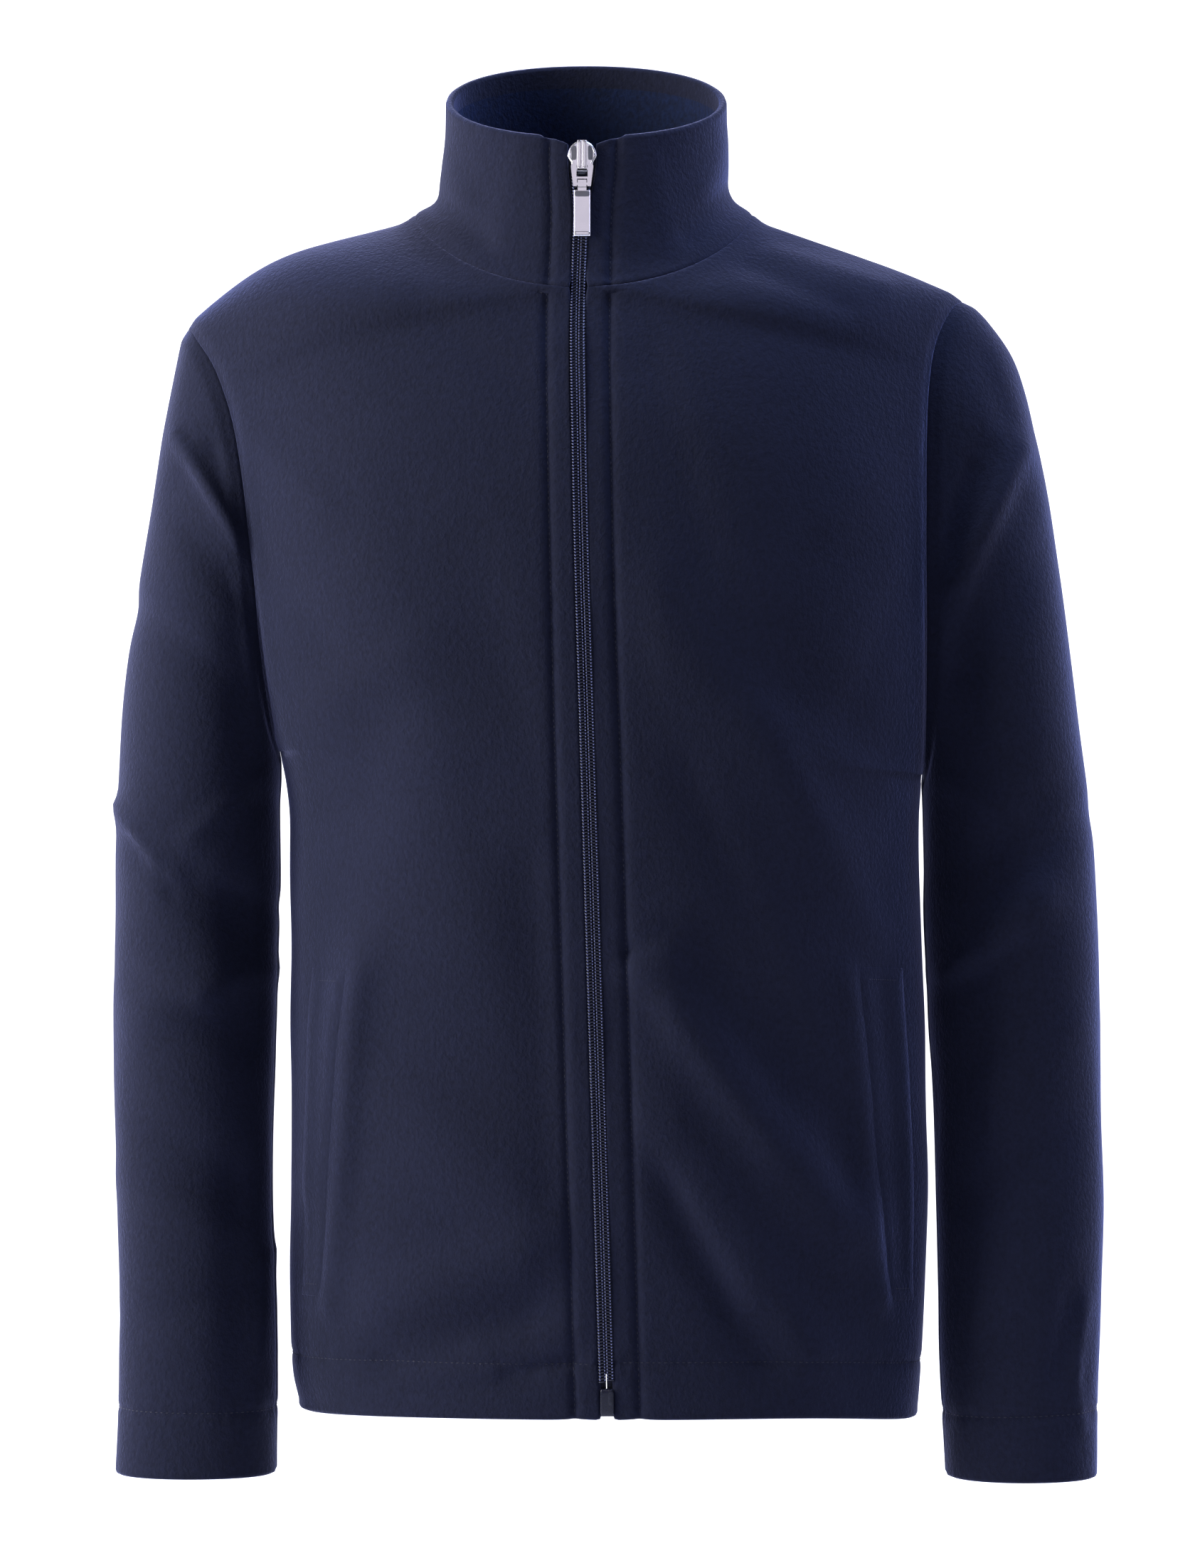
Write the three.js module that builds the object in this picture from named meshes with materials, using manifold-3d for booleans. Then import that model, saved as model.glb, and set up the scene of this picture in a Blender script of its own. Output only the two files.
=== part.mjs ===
// A fleece jacket with a stand-up collar and a full-length zip, in the shape it has when it is worn.
// Millimetres, +Z up, the front faces -Y and +X is the wearer's left. The origin is the middle of the
// neck at the height of the points where the shoulder seams meet the collar.
import * as THREE from "three";
import { mergeVertices } from "three/addons/utils/BufferGeometryUtils.js";
import Module from "manifold-3d";

const wasm = await Module();
wasm.setup();

// Cloth and seams.
const CLOTH = 2.2; // fleece, one layer
const HEM_CLOTH = 4.2; // fleece folded once at the hem and the cuffs
const COLLAR_CLOTH = 5; // two layers of fleece with a turned edge
const SEAM = 0.4; // space between two sewn pieces
const LAY = 0.35; // space between a piece and what lies on it
const HEM_DEPTH = 30;
const CUFF_DEPTH = 40;

// Heights.
const HEM = -688; // body length from the neck point
const HEM_DROP = { right: 5, left: 10 }; // how much lower the hem hangs at the side seams
const HEM_BEND = 4; // the hem bends down close to the side seams only
const NECK_FRONT = -49; // neck seam at the zip
const NECK_BACK = 14; // neck seam at the middle of the back

// The neck seam and the rim of the collar, as half widths and depths.
const NECK = { half: 97.5, middle: -0.5, front: -90, side: -4, back: 72 };
const RIM = { half: 82.5, middle: 0.8, front: -73, side: -3, back: 66, height: 67, tilt: 0.42 };

// Zip.
const ZIP_EDGE = 4.4; // from the middle of the zip to the front edge of the cloth
const ZIP_EDGE_TOP = 8.6; // the same beside the slider
const STITCH = 13; // from the front edge to the topstitching
const TAPE = { width: 15.4, thick: 1, inset: 0.25, lay: 0.6 };
const CHAIN = { half: 4, proud: 0.1, back: 2.1 };
const PARTING = { start: -8, length: 34 }; // where the zip edges part towards the slider

// Folds fade out where the cloth is stitched flat: beside the zip and beside the side seam.
const FOLD_FADE = { zip: 25, side: 1 / 6 };

// Turns a header and rows of numbers into named columns.
function table(header, rows) {
  const columns = {};
  header.split(" ").forEach((name, i) => {
    columns[name] = rows.map((row) => row[i]);
  });
  return columns;
}

// A smooth curve through one column against another: a cubic between rows, whose slope at each row
// comes from the rows on both sides of it. It stays level past the ends.
function curve(columns, from, to) {
  const x = columns[from];
  const y = columns[to];
  const last = x.length - 1;
  const slope = x.map((_, i) => {
    const a = Math.max(i - 1, 0);
    const b = Math.min(i + 1, last);
    return (y[b] - y[a]) / (x[b] - x[a]);
  });
  return (value) => {
    const at = Math.min(Math.max(value, x[0]), x[last]);
    let i = 0;
    while (i < last - 1 && at > x[i + 1]) i += 1;
    const span = x[i + 1] - x[i];
    const t = (at - x[i]) / span;
    const rise = t * t * (3 - 2 * t);
    const start = t * (1 - t) * (1 - t) * span * slope[i];
    const end = t * t * (t - 1) * span * slope[i + 1];
    return y[i] + (y[i + 1] - y[i]) * rise + start + end;
  };
}

// The outline of trunk and sleeves from the front, by height. The right side is the wearer's, at -X.
const TRUNK = table("z right left", [
  [-685, -167, 195],
  [-670, -170, 196],
  [-640, -171.5, 197.5],
  [-560, -172, 200.5],
  [-480, -172, 199.5],
  [-400, -172, 196.5],
  [-350, -172.5, 195.5],
  [-326, -175, 197],
  [-312, -178, 198],
]);
const SLEEVE_OUTER = {
  right: table("z x", [
    [-737, -272],
    [-664, -270.5],
    [-580, -272],
    [-497, -275],
    [-414, -275.5],
    [-330, -273],
    [-289, -270.5],
    [-247, -266],
    [-205, -260],
    [-164, -253],
    [-122, -246.5],
    [-101, -242.5],
    [-80, -238],
    [-64, -234.5],
  ]),
  left: table("z x", [
    [-739, 296.5],
    [-664, 299],
    [-580, 302],
    [-497, 302],
    [-414, 300],
    [-330, 294],
    [-289, 289],
    [-247, 284],
    [-205, 278],
    [-164, 272],
    [-122, 263.5],
    [-101, 258],
    [-80, 249.5],
    [-60, 235.5],
    [-47, 223],
  ]),
};
const SLEEVE_INNER = {
  right: table("z x", [
    [-737, -178],
    [-664, -179],
    [-580, -182],
    [-497, -181],
    [-414, -179.5],
    [-350, -179],
    [-312, -178],
  ]),
  left: table("z x", [
    [-739, 209],
    [-664, 206.5],
    [-580, 205],
    [-497, 202.5],
    [-414, 199.5],
    [-370, 198.5],
    [-326, 198],
  ]),
};

// The zip line: how far it stands forward and how far it wanders sideways.
const ZIP_LINE = table("z y x", [
  [-685, -116, 13],
  [-600, -118, 10.5],
  [-500, -121, 7.5],
  [-400, -127, 4.5],
  [-300, -132, 1.5],
  [-200, -129, -1.5],
  [-120, -115, -3.2],
  [-80, -102.5, -3.8],
  [-49, -90, -3.4],
  [-5, -80.5, -2],
  [37, -73, -1.2],
]);
const BACK_LEAN = 13; // how far the middle of the back drifts to the left side at the hem
const BACK_LINE = table("z y", [
  [-685, 113],
  [-600, 110],
  [-450, 105],
  [-300, 114],
  [-200, 121],
  [-130, 120],
  [-70, 107],
  [-20, 87],
  [14, 72],
]);

// The armhole: angle 0 is its top at the shoulder seam, 180 the bottom under the arm. Its height
// and depth are an oval, and its distance from the middle of the body follows the seam.
const ARMHOLE = {
  right: { top: -64, bottom: -312 },
  left: { top: -47, bottom: -326 },
};
const UNDERARM = -318; // where the rows through the undersides of both armholes start
const ARMHOLE_SIDE = table("angle right left", [
  [0, -234.5, 223],
  [20, -228, 214],
  [40, -214.5, 203.5],
  [60, -203.5, 199],
  [90, -194, 198],
  [120, -188, 198.5],
  [150, -182, 198.5],
  [180, -178, 198],
]);
const ARMHOLE_DEPTH = 56;
const ARM_ROUND = 0.8; // below 1 the armhole and the sleeve are blunter at top and bottom than an oval
const ARMHOLE_MIDDLE = 3;

// Rows above the underarm, by armhole angle: how far the row turns round the body, how boxy it is,
// and how far its middle stands out in front and behind.
const ROWS = table("angle turn boxy frontCrown backCrown", [
  [0, 2, 1, 0, 0],
  [20, 24, 1, 4, 9],
  [40, 42, 1, 6, 12],
  [60, 54, 0.96, 6, 9],
  [90, 64, 0.92, 4, 4],
  [120, 70, 0.9, 2, 2],
  [150, 78, 0.87, 0, 0],
  [180, 90, 0.86, 0, 0],
]);
const ROW_BOXY = 0.86;
const FRONT_NECK_ANGLE = 48; // armhole angle of the row that ends at the neck seam in front
const BACK_NECK_ANGLE = 34;
const SHOULDER_LIFT = { right: 14, left: 2 }; // how far the shoulder seam rises over a straight line
const SHOULDER_SKEW = 1.35;

// The sleeve's rings, along the sleeve: how far the ring's outer and inner ends lie below the ends
// of the armhole, its half depth, the middle of its depth, and how much of the armhole's shape it keeps.
const RINGS = table("along outer inner half middle keep", [
  [0, 0, 0, 56, 3, 1],
  [1, 34, 1.5, 60, 4, 0.72],
  [2, 76, 5, 63, 5, 0.42],
  [3, 126, 12, 65, 6, 0.18],
  [4, 182, 24, 66, 7, 0.04],
  [5, 246, 50, 65, 8, 0],
  [6, 322, 92, 62, 7, 0],
  [7, 412, 168, 57, 2, 0],
  [8, 500, 256, 51, -8, 0],
  [9, 588, 344, 45, -19, 0],
  [10, 669, 425, 41, -28, 0],
]);
const CUFF = { right: -728, left: -730 };
const RING_FALL = { outer: 669, inner: 425 }; // the last ring's distance below the armhole's ends

// The largest folds, each a soft ridge (or a trough, when its height is negative) along a line from
// one place to another seen from the front: where it lies, its half width and its height.
const FOLD_COLUMNS = "fromX fromZ toX toZ wide high";
const FOLDS = {
  sleeve_right: table(FOLD_COLUMNS, [
    [-238, -128, -199, -190, 13, 5],
    [-238, -166, -196, -222, 14, -4],
    [-270, -344, -242, -382, 14, 5],
    [-254, -372, -192, -414, 15, -5],
    [-262, -465, -196, -440, 16, 4],
    [-262, -520, -200, -560, 18, -3.5],
  ]),
  sleeve_left: table(FOLD_COLUMNS, [
    [256, -136, 211, -218, 13, 5],
    [228, -140, 203, -202, 12, -4],
    [270, -190, 216, -262, 15, -3.5],
    [286, -330, 232, -375, 17, -4],
    [206, -442, 262, -398, 14, 4.5],
    [290, -520, 228, -565, 18, -4],
  ]),
  front_right: table(FOLD_COLUMNS, [
    [-115, -625, -10, -588, 18, 4.5],
    [-112, -658, -8, -622, 14, -4],
    [-150, -560, -128, -430, 16, 4],
    [-120, -300, -150, -420, 24, -3],
  ]),
  front_left: table(FOLD_COLUMNS, [
    [32, -430, 150, -585, 18, 5],
    [74, -425, 150, -552, 18, -4],
    [30, -500, 128, -652, 16, 4.5],
    [44, -550, 104, -654, 15, -4],
    [32, -228, 140, -362, 24, 3.5],
  ]),
  back: table(FOLD_COLUMNS, [
    [-120, -300, -40, -420, 24, 4],
    [120, -280, 50, -440, 26, -4],
    [-90, -470, 30, -520, 22, 4],
    [110, -520, 20, -600, 24, -3],
  ]),
};

// Height of a piece's folds at a place: each is a bell curve across its line that fades at the ends.
function foldHeight(name, x, z) {
  const folds = FOLDS[name];
  let height = 0;
  folds.fromX.forEach((fromX, i) => {
    const alongX = folds.toX[i] - fromX;
    const alongZ = folds.toZ[i] - folds.fromZ[i];
    const length = Math.hypot(alongX, alongZ);
    const dx = x - fromX;
    const dz = z - folds.fromZ[i];
    const along = (dx * alongX + dz * alongZ) / length;
    const past = Math.max(0, -along, along - length);
    const across = (dx * alongZ - dz * alongX) / length;
    const reach = Math.hypot(across, past) / folds.wide[i];
    height += folds.high[i] * Math.exp(-reach * reach);
  });
  return height;
}

const trunkSide = { right: curve(TRUNK, "z", "right"), left: curve(TRUNK, "z", "left") };
const zipX = curve(ZIP_LINE, "z", "x");
const zipY = curve(ZIP_LINE, "z", "y");
const backY = curve(BACK_LINE, "z", "y");
const armholeX = {
  right: curve(ARMHOLE_SIDE, "angle", "right"),
  left: curve(ARMHOLE_SIDE, "angle", "left"),
};
const rowTurn = curve(ROWS, "angle", "turn");
const rowBoxy = curve(ROWS, "angle", "boxy");
const rowCrown = {
  front: curve(ROWS, "angle", "frontCrown"),
  back: curve(ROWS, "angle", "backCrown"),
};
const sign = { right: -1, left: 1 };
const facing = { front: -1, back: 1 };
const radians = (degrees) => (degrees * Math.PI) / 180;
const mix = (a, b, t) => a + (b - a) * t;
const ease = (t) => t * t * (3 - 2 * t);
const clamp01 = (t) => Math.min(Math.max(t, 0), 1);
const at = (x, y, z) => new THREE.Vector3(x, y, z);

// Half of the zip's opening at a height: narrow down the front, wider beside the slider.
const zipGap = (z) => mix(ZIP_EDGE, ZIP_EDGE_TOP, ease(clamp01((z - PARTING.start) / PARTING.length)));

// A point of the armhole seam. The angle runs down the front or down the back.
function armhole(side, face, angle) {
  const { top, bottom } = ARMHOLE[side];
  const turn = radians(angle);
  const y = ARMHOLE_MIDDLE + facing[face] * ARMHOLE_DEPTH * Math.abs(Math.sin(turn)) ** ARM_ROUND;
  const z = (top + bottom) / 2 + ((top - bottom) / 2) * Math.cos(turn);
  return at(armholeX[side](angle), y, z);
}

// A point of the neck seam: angle 0 is the middle of the front, 90 the shoulder seam, 180 the back.
function neck(side, angle) {
  const turn = radians(angle);
  const c = Math.cos(turn);
  const gap = sign[side] * ZIP_EDGE + zipX(NECK_FRONT);
  const start = angle < 90 ? gap : NECK.middle;
  const x = start + (NECK.middle + sign[side] * NECK.half - start) * Math.sin(turn);
  const end = angle < 90 ? NECK.front : NECK.back;
  const y = NECK.side + (end - NECK.side) * Math.abs(c);
  const z = angle < 90 ? NECK_FRONT * c ** 1.3 : NECK_BACK * Math.abs(c) ** 1.2;
  return at(x, y, z);
}

// A trunk panel's inner edge below the neck: the zip edge in front, the middle line behind, which
// leans towards the zip line's side on its way down.
function innerEdge(side, face, z) {
  if (face === "front") return at(zipX(z) + sign[side] * zipGap(z), zipY(z), z);
  const lean = BACK_LEAN * clamp01((NECK_BACK - z) / (NECK_BACK - HEM));
  return at(NECK.middle + lean, backY(z), z);
}

// The row of a trunk panel at a level. Level 0 is the hem, 1 the underarm, 2 the shoulder seam, and
// above the underarm a level stands for an armhole angle.
function trunkRow(side, face, level) {
  if (level <= 1) {
    const z = mix(HEM, UNDERARM, level);
    const low = mix(HEM, ARMHOLE[side].bottom, level);
    const drop = HEM_DROP[side] * (1 - level);
    const outer = at(trunkSide[side](low), ARMHOLE_MIDDLE, low - drop);
    return { inner: innerEdge(side, face, z), outer, turn: 90, boxy: ROW_BOXY, crown: 0, lift: 0, drop };
  }
  const angle = 180 * (2 - level);
  const neckAngle = face === "front" ? FRONT_NECK_ANGLE : BACK_NECK_ANGLE;
  const rise = (180 - angle) / (180 - neckAngle);
  let inner;
  if (angle < neckAngle) {
    const turn = 90 * (1 - angle / neckAngle);
    inner = neck(side, face === "front" ? turn : 180 - turn);
  } else {
    inner = innerEdge(side, face, mix(UNDERARM, face === "front" ? NECK_FRONT : NECK_BACK, rise));
  }
  const lift = SHOULDER_LIFT[side] * Math.cos(radians(Math.min(angle, 90))) ** 2;
  const crown = rowCrown[face](angle);
  return {
    inner, outer: armhole(side, face, angle), turn: rowTurn(angle), boxy: rowBoxy(angle), crown, lift,
    drop: 0,
  };
}

// A point along a row: the arc of a squarish ellipse from the inner end (u = 0) to the outer end,
// raised by the crown, by the shoulder's lift and by the folds.
function rowPoint(row, u, side, face) {
  const end = radians(row.turn);
  const across = (Math.sin(end * u) / Math.sin(end)) ** row.boxy;
  const round = (1 - Math.cos(end * u) ** row.boxy) / (1 - Math.cos(end) ** row.boxy);
  const point = at(
    mix(row.inner.x, row.outer.x, across),
    mix(row.inner.y, row.outer.y, round),
    mix(row.inner.z, row.outer.z, across),
  );
  const swell = Math.sin(Math.PI * u);
  point.y += facing[face] * row.crown * swell;
  point.z += row.lift * Math.sin(Math.PI * across ** SHOULDER_SKEW);
  point.z += row.drop * (across - across ** HEM_BEND);
  const name = face === "back" ? "back" : `front_${side}`;
  const clear = (Math.abs(point.x - row.inner.x) - STITCH) / FOLD_FADE.zip;
  const fade = Math.min(clamp01(clear), (1 - u) / FOLD_FADE.side);
  const high = foldHeight(name, point.x, point.z) * fade;
  const out = at(point.x, point.y * 1.6, 0).normalize();
  return point.addScaledVector(out, high);
}

// How far along a row the topstitching beside its inner end lies.
function stitchAt(row) {
  const share = STITCH / Math.abs(row.outer.x - row.inner.x);
  const turn = radians(row.turn);
  return Math.asin(share ** (1 / row.boxy) * Math.sin(turn)) / turn;
}

// Grids of points: rows first, then places along the row.
const HEM_TOP = (HEM_DEPTH + 0.01) / (ARMHOLE.right.bottom - HEM);
const LOWER = [0, 0.045, HEM_TOP, HEM_TOP + 0.016, 0.17, 0.27, 0.37, 0.47, 0.57, 0.67, 0.77, 0.86, 0.93];
const NECK_STEPS = [0, 8.2, 22, 38, 55, 72, 90];
const BACK_STEPS = [180, 162, 144, 126, 108, 90];
const BELOW_NECK = {
  front: [180, 165, 150, 135, 120, 105, 90, 75, 61],
  back: [180, 165, 150, 135, 120, 105, 90, 75, 60, 46],
};
const ARM_STEPS = {
  front: [...BELOW_NECK.front, ...NECK_STEPS.map((a) => FRONT_NECK_ANGLE * (1 - a / 90))],
  back: [...BELOW_NECK.back, ...BACK_STEPS.map((a) => BACK_NECK_ANGLE * (a / 90 - 1))],
};
const COLUMNS = [0.1, 0.2, 0.3, 0.4, 0.5, 0.6, 0.7, 0.8, 0.9, 1];

function trunkGrid(side, face) {
  const levels = [...LOWER, ...ARM_STEPS[face].map((angle) => 2 - angle / 180)];
  return levels.map((level) => {
    const row = trunkRow(side, face, level);
    const columns = [0, stitchAt(row), ...COLUMNS];
    return columns.map((u) => rowPoint(row, u, side, face));
  });
}

const ring = {
  outer: curve(RINGS, "along", "outer"),
  inner: curve(RINGS, "along", "inner"),
  half: curve(RINGS, "along", "half"),
  middle: curve(RINGS, "along", "middle"),
  keep: curve(RINGS, "along", "keep"),
};
const outerX = {
  right: curve(SLEEVE_OUTER.right, "z", "x"),
  left: curve(SLEEVE_OUTER.left, "z", "x"),
};
const innerX = {
  right: curve(SLEEVE_INNER.right, "z", "x"),
  left: curve(SLEEVE_INNER.left, "z", "x"),
};

// A point of a sleeve: an oval across the sleeve whose ends follow the sleeve's two outlines, and
// which starts as the armhole itself.
function sleevePoint(side, along, face, angle) {
  const { top, bottom } = ARMHOLE[side];
  const outerZ = top - ring.outer(along) * ((top - CUFF[side]) / RING_FALL.outer);
  const innerZ = bottom - ring.inner(along) * ((bottom - CUFF[side]) / RING_FALL.inner);
  const turn = radians(angle);
  const c = Math.cos(turn);
  const s = Math.abs(Math.sin(turn)) ** ARM_ROUND;
  const ends = { outer: outerX[side](outerZ), inner: innerX[side](innerZ) };
  const point = at(
    (ends.outer + ends.inner) / 2 + ((ends.outer - ends.inner) / 2) * c,
    ring.middle(along) + facing[face] * ring.half(along) * s,
    (outerZ + innerZ) / 2 + ((outerZ - innerZ) / 2) * c,
  );
  const chord = armhole(side, face, 0).lerp(armhole(side, face, 180), (1 - c) / 2);
  const bow = armhole(side, face, angle).sub(chord);
  point.x += bow.x * ring.keep(along);
  const fade = clamp01(along / 1.5) * clamp01((10 - along) / 0.6);
  const high = foldHeight(`sleeve_${side}`, point.x, point.z) * fade * s;
  point.y += facing[face] * high;
  return point;
}

const RING_STEPS = [
  0, 0.5, 1, 1.5, 2, 2.5, 3, 3.5, 4, 4.5, 5, 5.5, 6, 6.5, 7, 7.5, 8, 8.5, 9, 9.42, 9.5, 9.8, 10,
];

function sleeveGrid(side) {
  const down = ARM_STEPS.front.toReversed();
  const up = ARM_STEPS.back;
  return RING_STEPS.map((along) => [
    ...down.map((angle) => sleevePoint(side, along, "front", angle)),
    ...up.slice(1).map((angle) => sleevePoint(side, along, "back", angle)),
  ]);
}

// The collar draws in more near its seam than near its rim, most of all at its sides, and its rim
// dips beside the zip.
const FLARE = { front: 1.35, frontSide: 3.4, back: 2.4, backSide: 2.35 };
const DIP = { reach: 0.32, depth: 3.5 };

// A point of the collar: it starts on the neck seam and flares in to its leaning rim.
function collarPoint(side, angle, rise) {
  const turn = radians(angle);
  const base = neck(side, angle);
  const s = Math.sin(turn);
  const c = Math.cos(turn);
  const front = angle < 90;
  const start = front ? zipX(RIM.height) + sign[side] * ZIP_EDGE : RIM.middle;
  const rimX = start + (RIM.middle + sign[side] * RIM.half - start) * s ** 0.94;
  const rimY = RIM.side + ((front ? RIM.front : RIM.back) - RIM.side) * Math.abs(c);
  const rimZ = RIM.height + RIM.tilt * (rimY - RIM.side);
  const flare = front ? FLARE.front + FLARE.frontSide * s * s : FLARE.back + FLARE.backSide * s * s;
  const inward = 1 - (1 - rise) ** flare;
  const point = at(mix(base.x, rimX, inward), mix(base.y, rimY, inward), mix(base.z, rimZ, rise));
  const beside = front ? clamp01(1 - s / DIP.reach) : 0;
  point.x += sign[side] * (zipGap(point.z) - ZIP_EDGE) * beside;
  point.z -= DIP.depth * beside ** 3 * rise ** 4;
  return point;
}

const COLLAR_STEPS = [0, 0.1, 0.25, 0.45, 0.65, 0.82, 0.94, 1];

function collarGrid() {
  const places = [
    ...NECK_STEPS.map((angle) => ["right", angle]),
    ...BACK_STEPS.slice(0, -1).toReversed().map((angle) => ["right", angle]),
    ...BACK_STEPS.slice(1).map((angle) => ["left", angle]),
    ...NECK_STEPS.slice(0, -1).toReversed().map((angle) => ["left", angle]),
  ];
  return COLLAR_STEPS.map((rise) => places.map(([side, angle]) => collarPoint(side, angle, rise)));
}

// A sheet is a set of grids whose shared points are one corner each. Corners keep their outer place,
// the direction to the inside of the cloth and their thickness.
function sheet(name, grids, thick, inside, tube = false) {
  const corners = [];
  const found = new Map();
  const quads = [];
  for (const grid of grids) {
    const own = [];
    const ids = grid.map((row) => row.map((p) => {
      const key = keyOf(p);
      if (!found.has(key)) {
        found.set(key, corners.length);
        corners.push({ key, place: p.clone(), inward: at(0, 0, 0), bias: at(0, 0, 0) });
      }
      return found.get(key);
    }));
    for (let i = 0; i + 1 < ids.length; i += 1) {
      for (let j = 0; j + 1 < ids[i].length; j += 1) {
        own.push([ids[i][j], ids[i][j + 1], ids[i + 1][j + 1], ids[i + 1][j]]);
      }
    }
    let inwards = 0;
    for (const quad of own) {
      const { normal, middle } = quadNormal(quad.map((id) => corners[id].place));
      inwards += normal.dot(inside(middle).sub(middle));
    }
    if (inwards < 0) own.forEach((quad) => quad.reverse());
    quads.push(...own);
  }
  for (const quad of quads) {
    const { normal } = quadNormal(quad.map((id) => corners[id].place));
    for (const id of quad) corners[id].inward.add(normal);
  }
  for (const corner of corners) {
    corner.inward.normalize();
    corner.own = corner.inward.clone();
    corner.thick = thick(corner.place);
    corner.tube = tube;
  }
  return { name, corners, quads, found };
}

function quadNormal([a, b, c, d]) {
  const normal = c.clone().sub(a).cross(d.clone().sub(b));
  return { normal, middle: a.clone().add(b).add(c).add(d).multiplyScalar(0.25) };
}

function keyOf(p) {
  return [p.x, p.y, p.z].map((v) => Math.round(v * 50)).join();
}

// The edges that belong to one quad only, each with the middle of that quad.
function borderOf(piece) {
  const edges = new Map();
  for (const quad of piece.quads) {
    quad.forEach((from, i) => {
      const to = quad[(i + 1) % 4];
      const back = `${to}_${from}`;
      if (edges.has(back)) edges.delete(back);
      else edges.set(`${from}_${to}`, { from, to, quad });
    });
  }
  return [...edges.values()];
}

const LEAST_SLANT = 0.6; // a slanted seam makes the cloth's edge wider, up to this share
const LEAST_CROSS = 0.4; // below it a seam runs along its own direction, so the cloth's own is taken

// Where pieces share corners they are sewn: all of them take one direction through the cloth, half
// way between the trunk's and the tube's, so that their edges lie side by side, and each is drawn
// back from the seam by half its space.
function sew(pieces) {
  const meet = new Map();
  for (const piece of pieces) {
    for (const corner of piece.corners) {
      if (!meet.has(corner.key)) meet.set(corner.key, []);
      meet.get(corner.key).push(corner);
    }
  }
  for (const corners of meet.values()) {
    if (corners.length < 2) continue;
    const shared = at(0, 0, 0);
    for (const tube of [false, true]) {
      const same = corners.filter((corner) => corner.tube === tube);
      const sum = same.reduce((total, corner) => total.add(corner.own), at(0, 0, 0));
      shared.add(sum.normalize());
    }
    for (const corner of corners) shared.add(corner.bias);
    shared.normalize();
    const slant = Math.min(...corners.map((corner) => corner.own.dot(shared)));
    for (const corner of corners) {
      corner.inward = shared.clone();
      corner.sewn = true;
      corner.thick /= Math.max(LEAST_SLANT, slant);
    }
  }
  for (const piece of pieces) drawBack(piece);
}

function drawBack(piece) {
  const away = new Map();
  for (const { from, to, quad } of borderOf(piece)) {
    const a = piece.corners[from];
    const b = piece.corners[to];
    if (!a.sewn || !b.sewn) continue;
    const middle = quad.reduce((sum, id) => sum.add(piece.corners[id].place), at(0, 0, 0));
    middle.multiplyScalar(0.25).sub(a.place.clone().lerp(b.place, 0.5)).normalize();
    const along = b.place.clone().sub(a.place).normalize();
    for (const corner of [a, b]) {
      const off = corner.inward.clone().cross(along);
      if (off.length() < LEAST_CROSS) off.copy(corner.own).cross(along);
      off.normalize();
      if (off.dot(middle.clone().add(corner.own)) < 0) off.negate();
      if (!away.has(corner)) away.set(corner, []);
      away.get(corner).push(off);
    }
  }
  for (const [corner, offs] of away) {
    const sum = offs.reduce((total, off) => total.add(off), at(0, 0, 0));
    const share = offs.length > 1 ? 1 + offs[0].dot(offs[1]) : 1;
    corner.shift = sum.multiplyScalar(SEAM / 2 / Math.max(share, 0.5));
  }
  for (const corner of away.keys()) corner.place.add(corner.shift);
}

const innerPlace = (corner) => corner.place.clone().addScaledVector(corner.inward, corner.thick);

// The closed wall of a sheet: its outer face, its inner face and its edges.
function wall(piece) {
  const count = piece.corners.length;
  const places = [...piece.corners.map((corner) => corner.place), ...piece.corners.map(innerPlace)];
  const faces = [];
  for (const [a, b, c, d] of piece.quads) {
    faces.push([a, c, b], [a, d, c]);
    faces.push([a + count, b + count, c + count], [a + count, c + count, d + count]);
  }
  for (const { from, to } of borderOf(piece)) {
    faces.push([from, to, to + count], [from, to + count, from + count]);
  }
  return closed(places, faces);
}

// A closed geometry from places and triangles, turned so that its faces point out.
function closed(places, faces) {
  let volume = 0;
  for (const [a, b, c] of faces) volume += places[a].dot(places[b].clone().cross(places[c]));
  const turned = volume < 0 ? faces.map(([a, b, c]) => [a, c, b]) : faces;
  const geometry = new THREE.BufferGeometry().setFromPoints(places);
  geometry.setIndex(turned.flat());
  geometry.computeVertexNormals();
  return geometry;
}

// A strip through cross-sections of four places each, closed at both ends.
function strip(sections) {
  const faces = [];
  const last = (sections.length - 1) * 4;
  for (let i = 0; i < last; i += 4) {
    for (let j = 0; j < 4; j += 1) {
      const k = (j + 1) % 4;
      faces.push([i + j, i + k, i + 4 + k], [i + j, i + 4 + k, i + 4 + j]);
    }
  }
  faces.push([0, 2, 1], [0, 3, 2], [last, last + 1, last + 2], [last, last + 2, last + 3]);
  return closed(sections.flat(), faces);
}

// A place inside the trunk to measure inward from: near the middle, and below the shoulders.
const CHEST = -150;
const onAxis = (p) => at(p.x / 10, 0, Math.min(p.z, CHEST));
const besideZip = (p) => p.y < -40 && Math.abs(p.x - zipX(p.z)) < zipGap(p.z) + STITCH + 1.5;
const FOLD_MARGIN = 3; // the fold's top lies this much under the next row of corners

// One layer of cloth, and two in the hem's fold, whose top hangs as the hem itself does.
function hemCloth(p) {
  const middle = zipX(p.z);
  const side = p.x < middle ? "right" : "left";
  const across = (p.x - middle) / (trunkSide[side](p.z) - middle);
  const foldTop = HEM + HEM_DEPTH + FOLD_MARGIN - HEM_DROP[side] * across ** HEM_BEND;
  return p.z < foldTop && !besideZip(p) ? HEM_CLOTH : CLOTH;
}

function trunkSheet(name, face, sides) {
  const grids = sides.map((side) => trunkGrid(side, face));
  return sheet(name, grids, hemCloth, onAxis);
}

const UPPER_ARM = { top: -340, middle: -260 };
const LEAN_IN = 0.6; // how much the armhole's seam direction leans to the middle of the armhole

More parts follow.
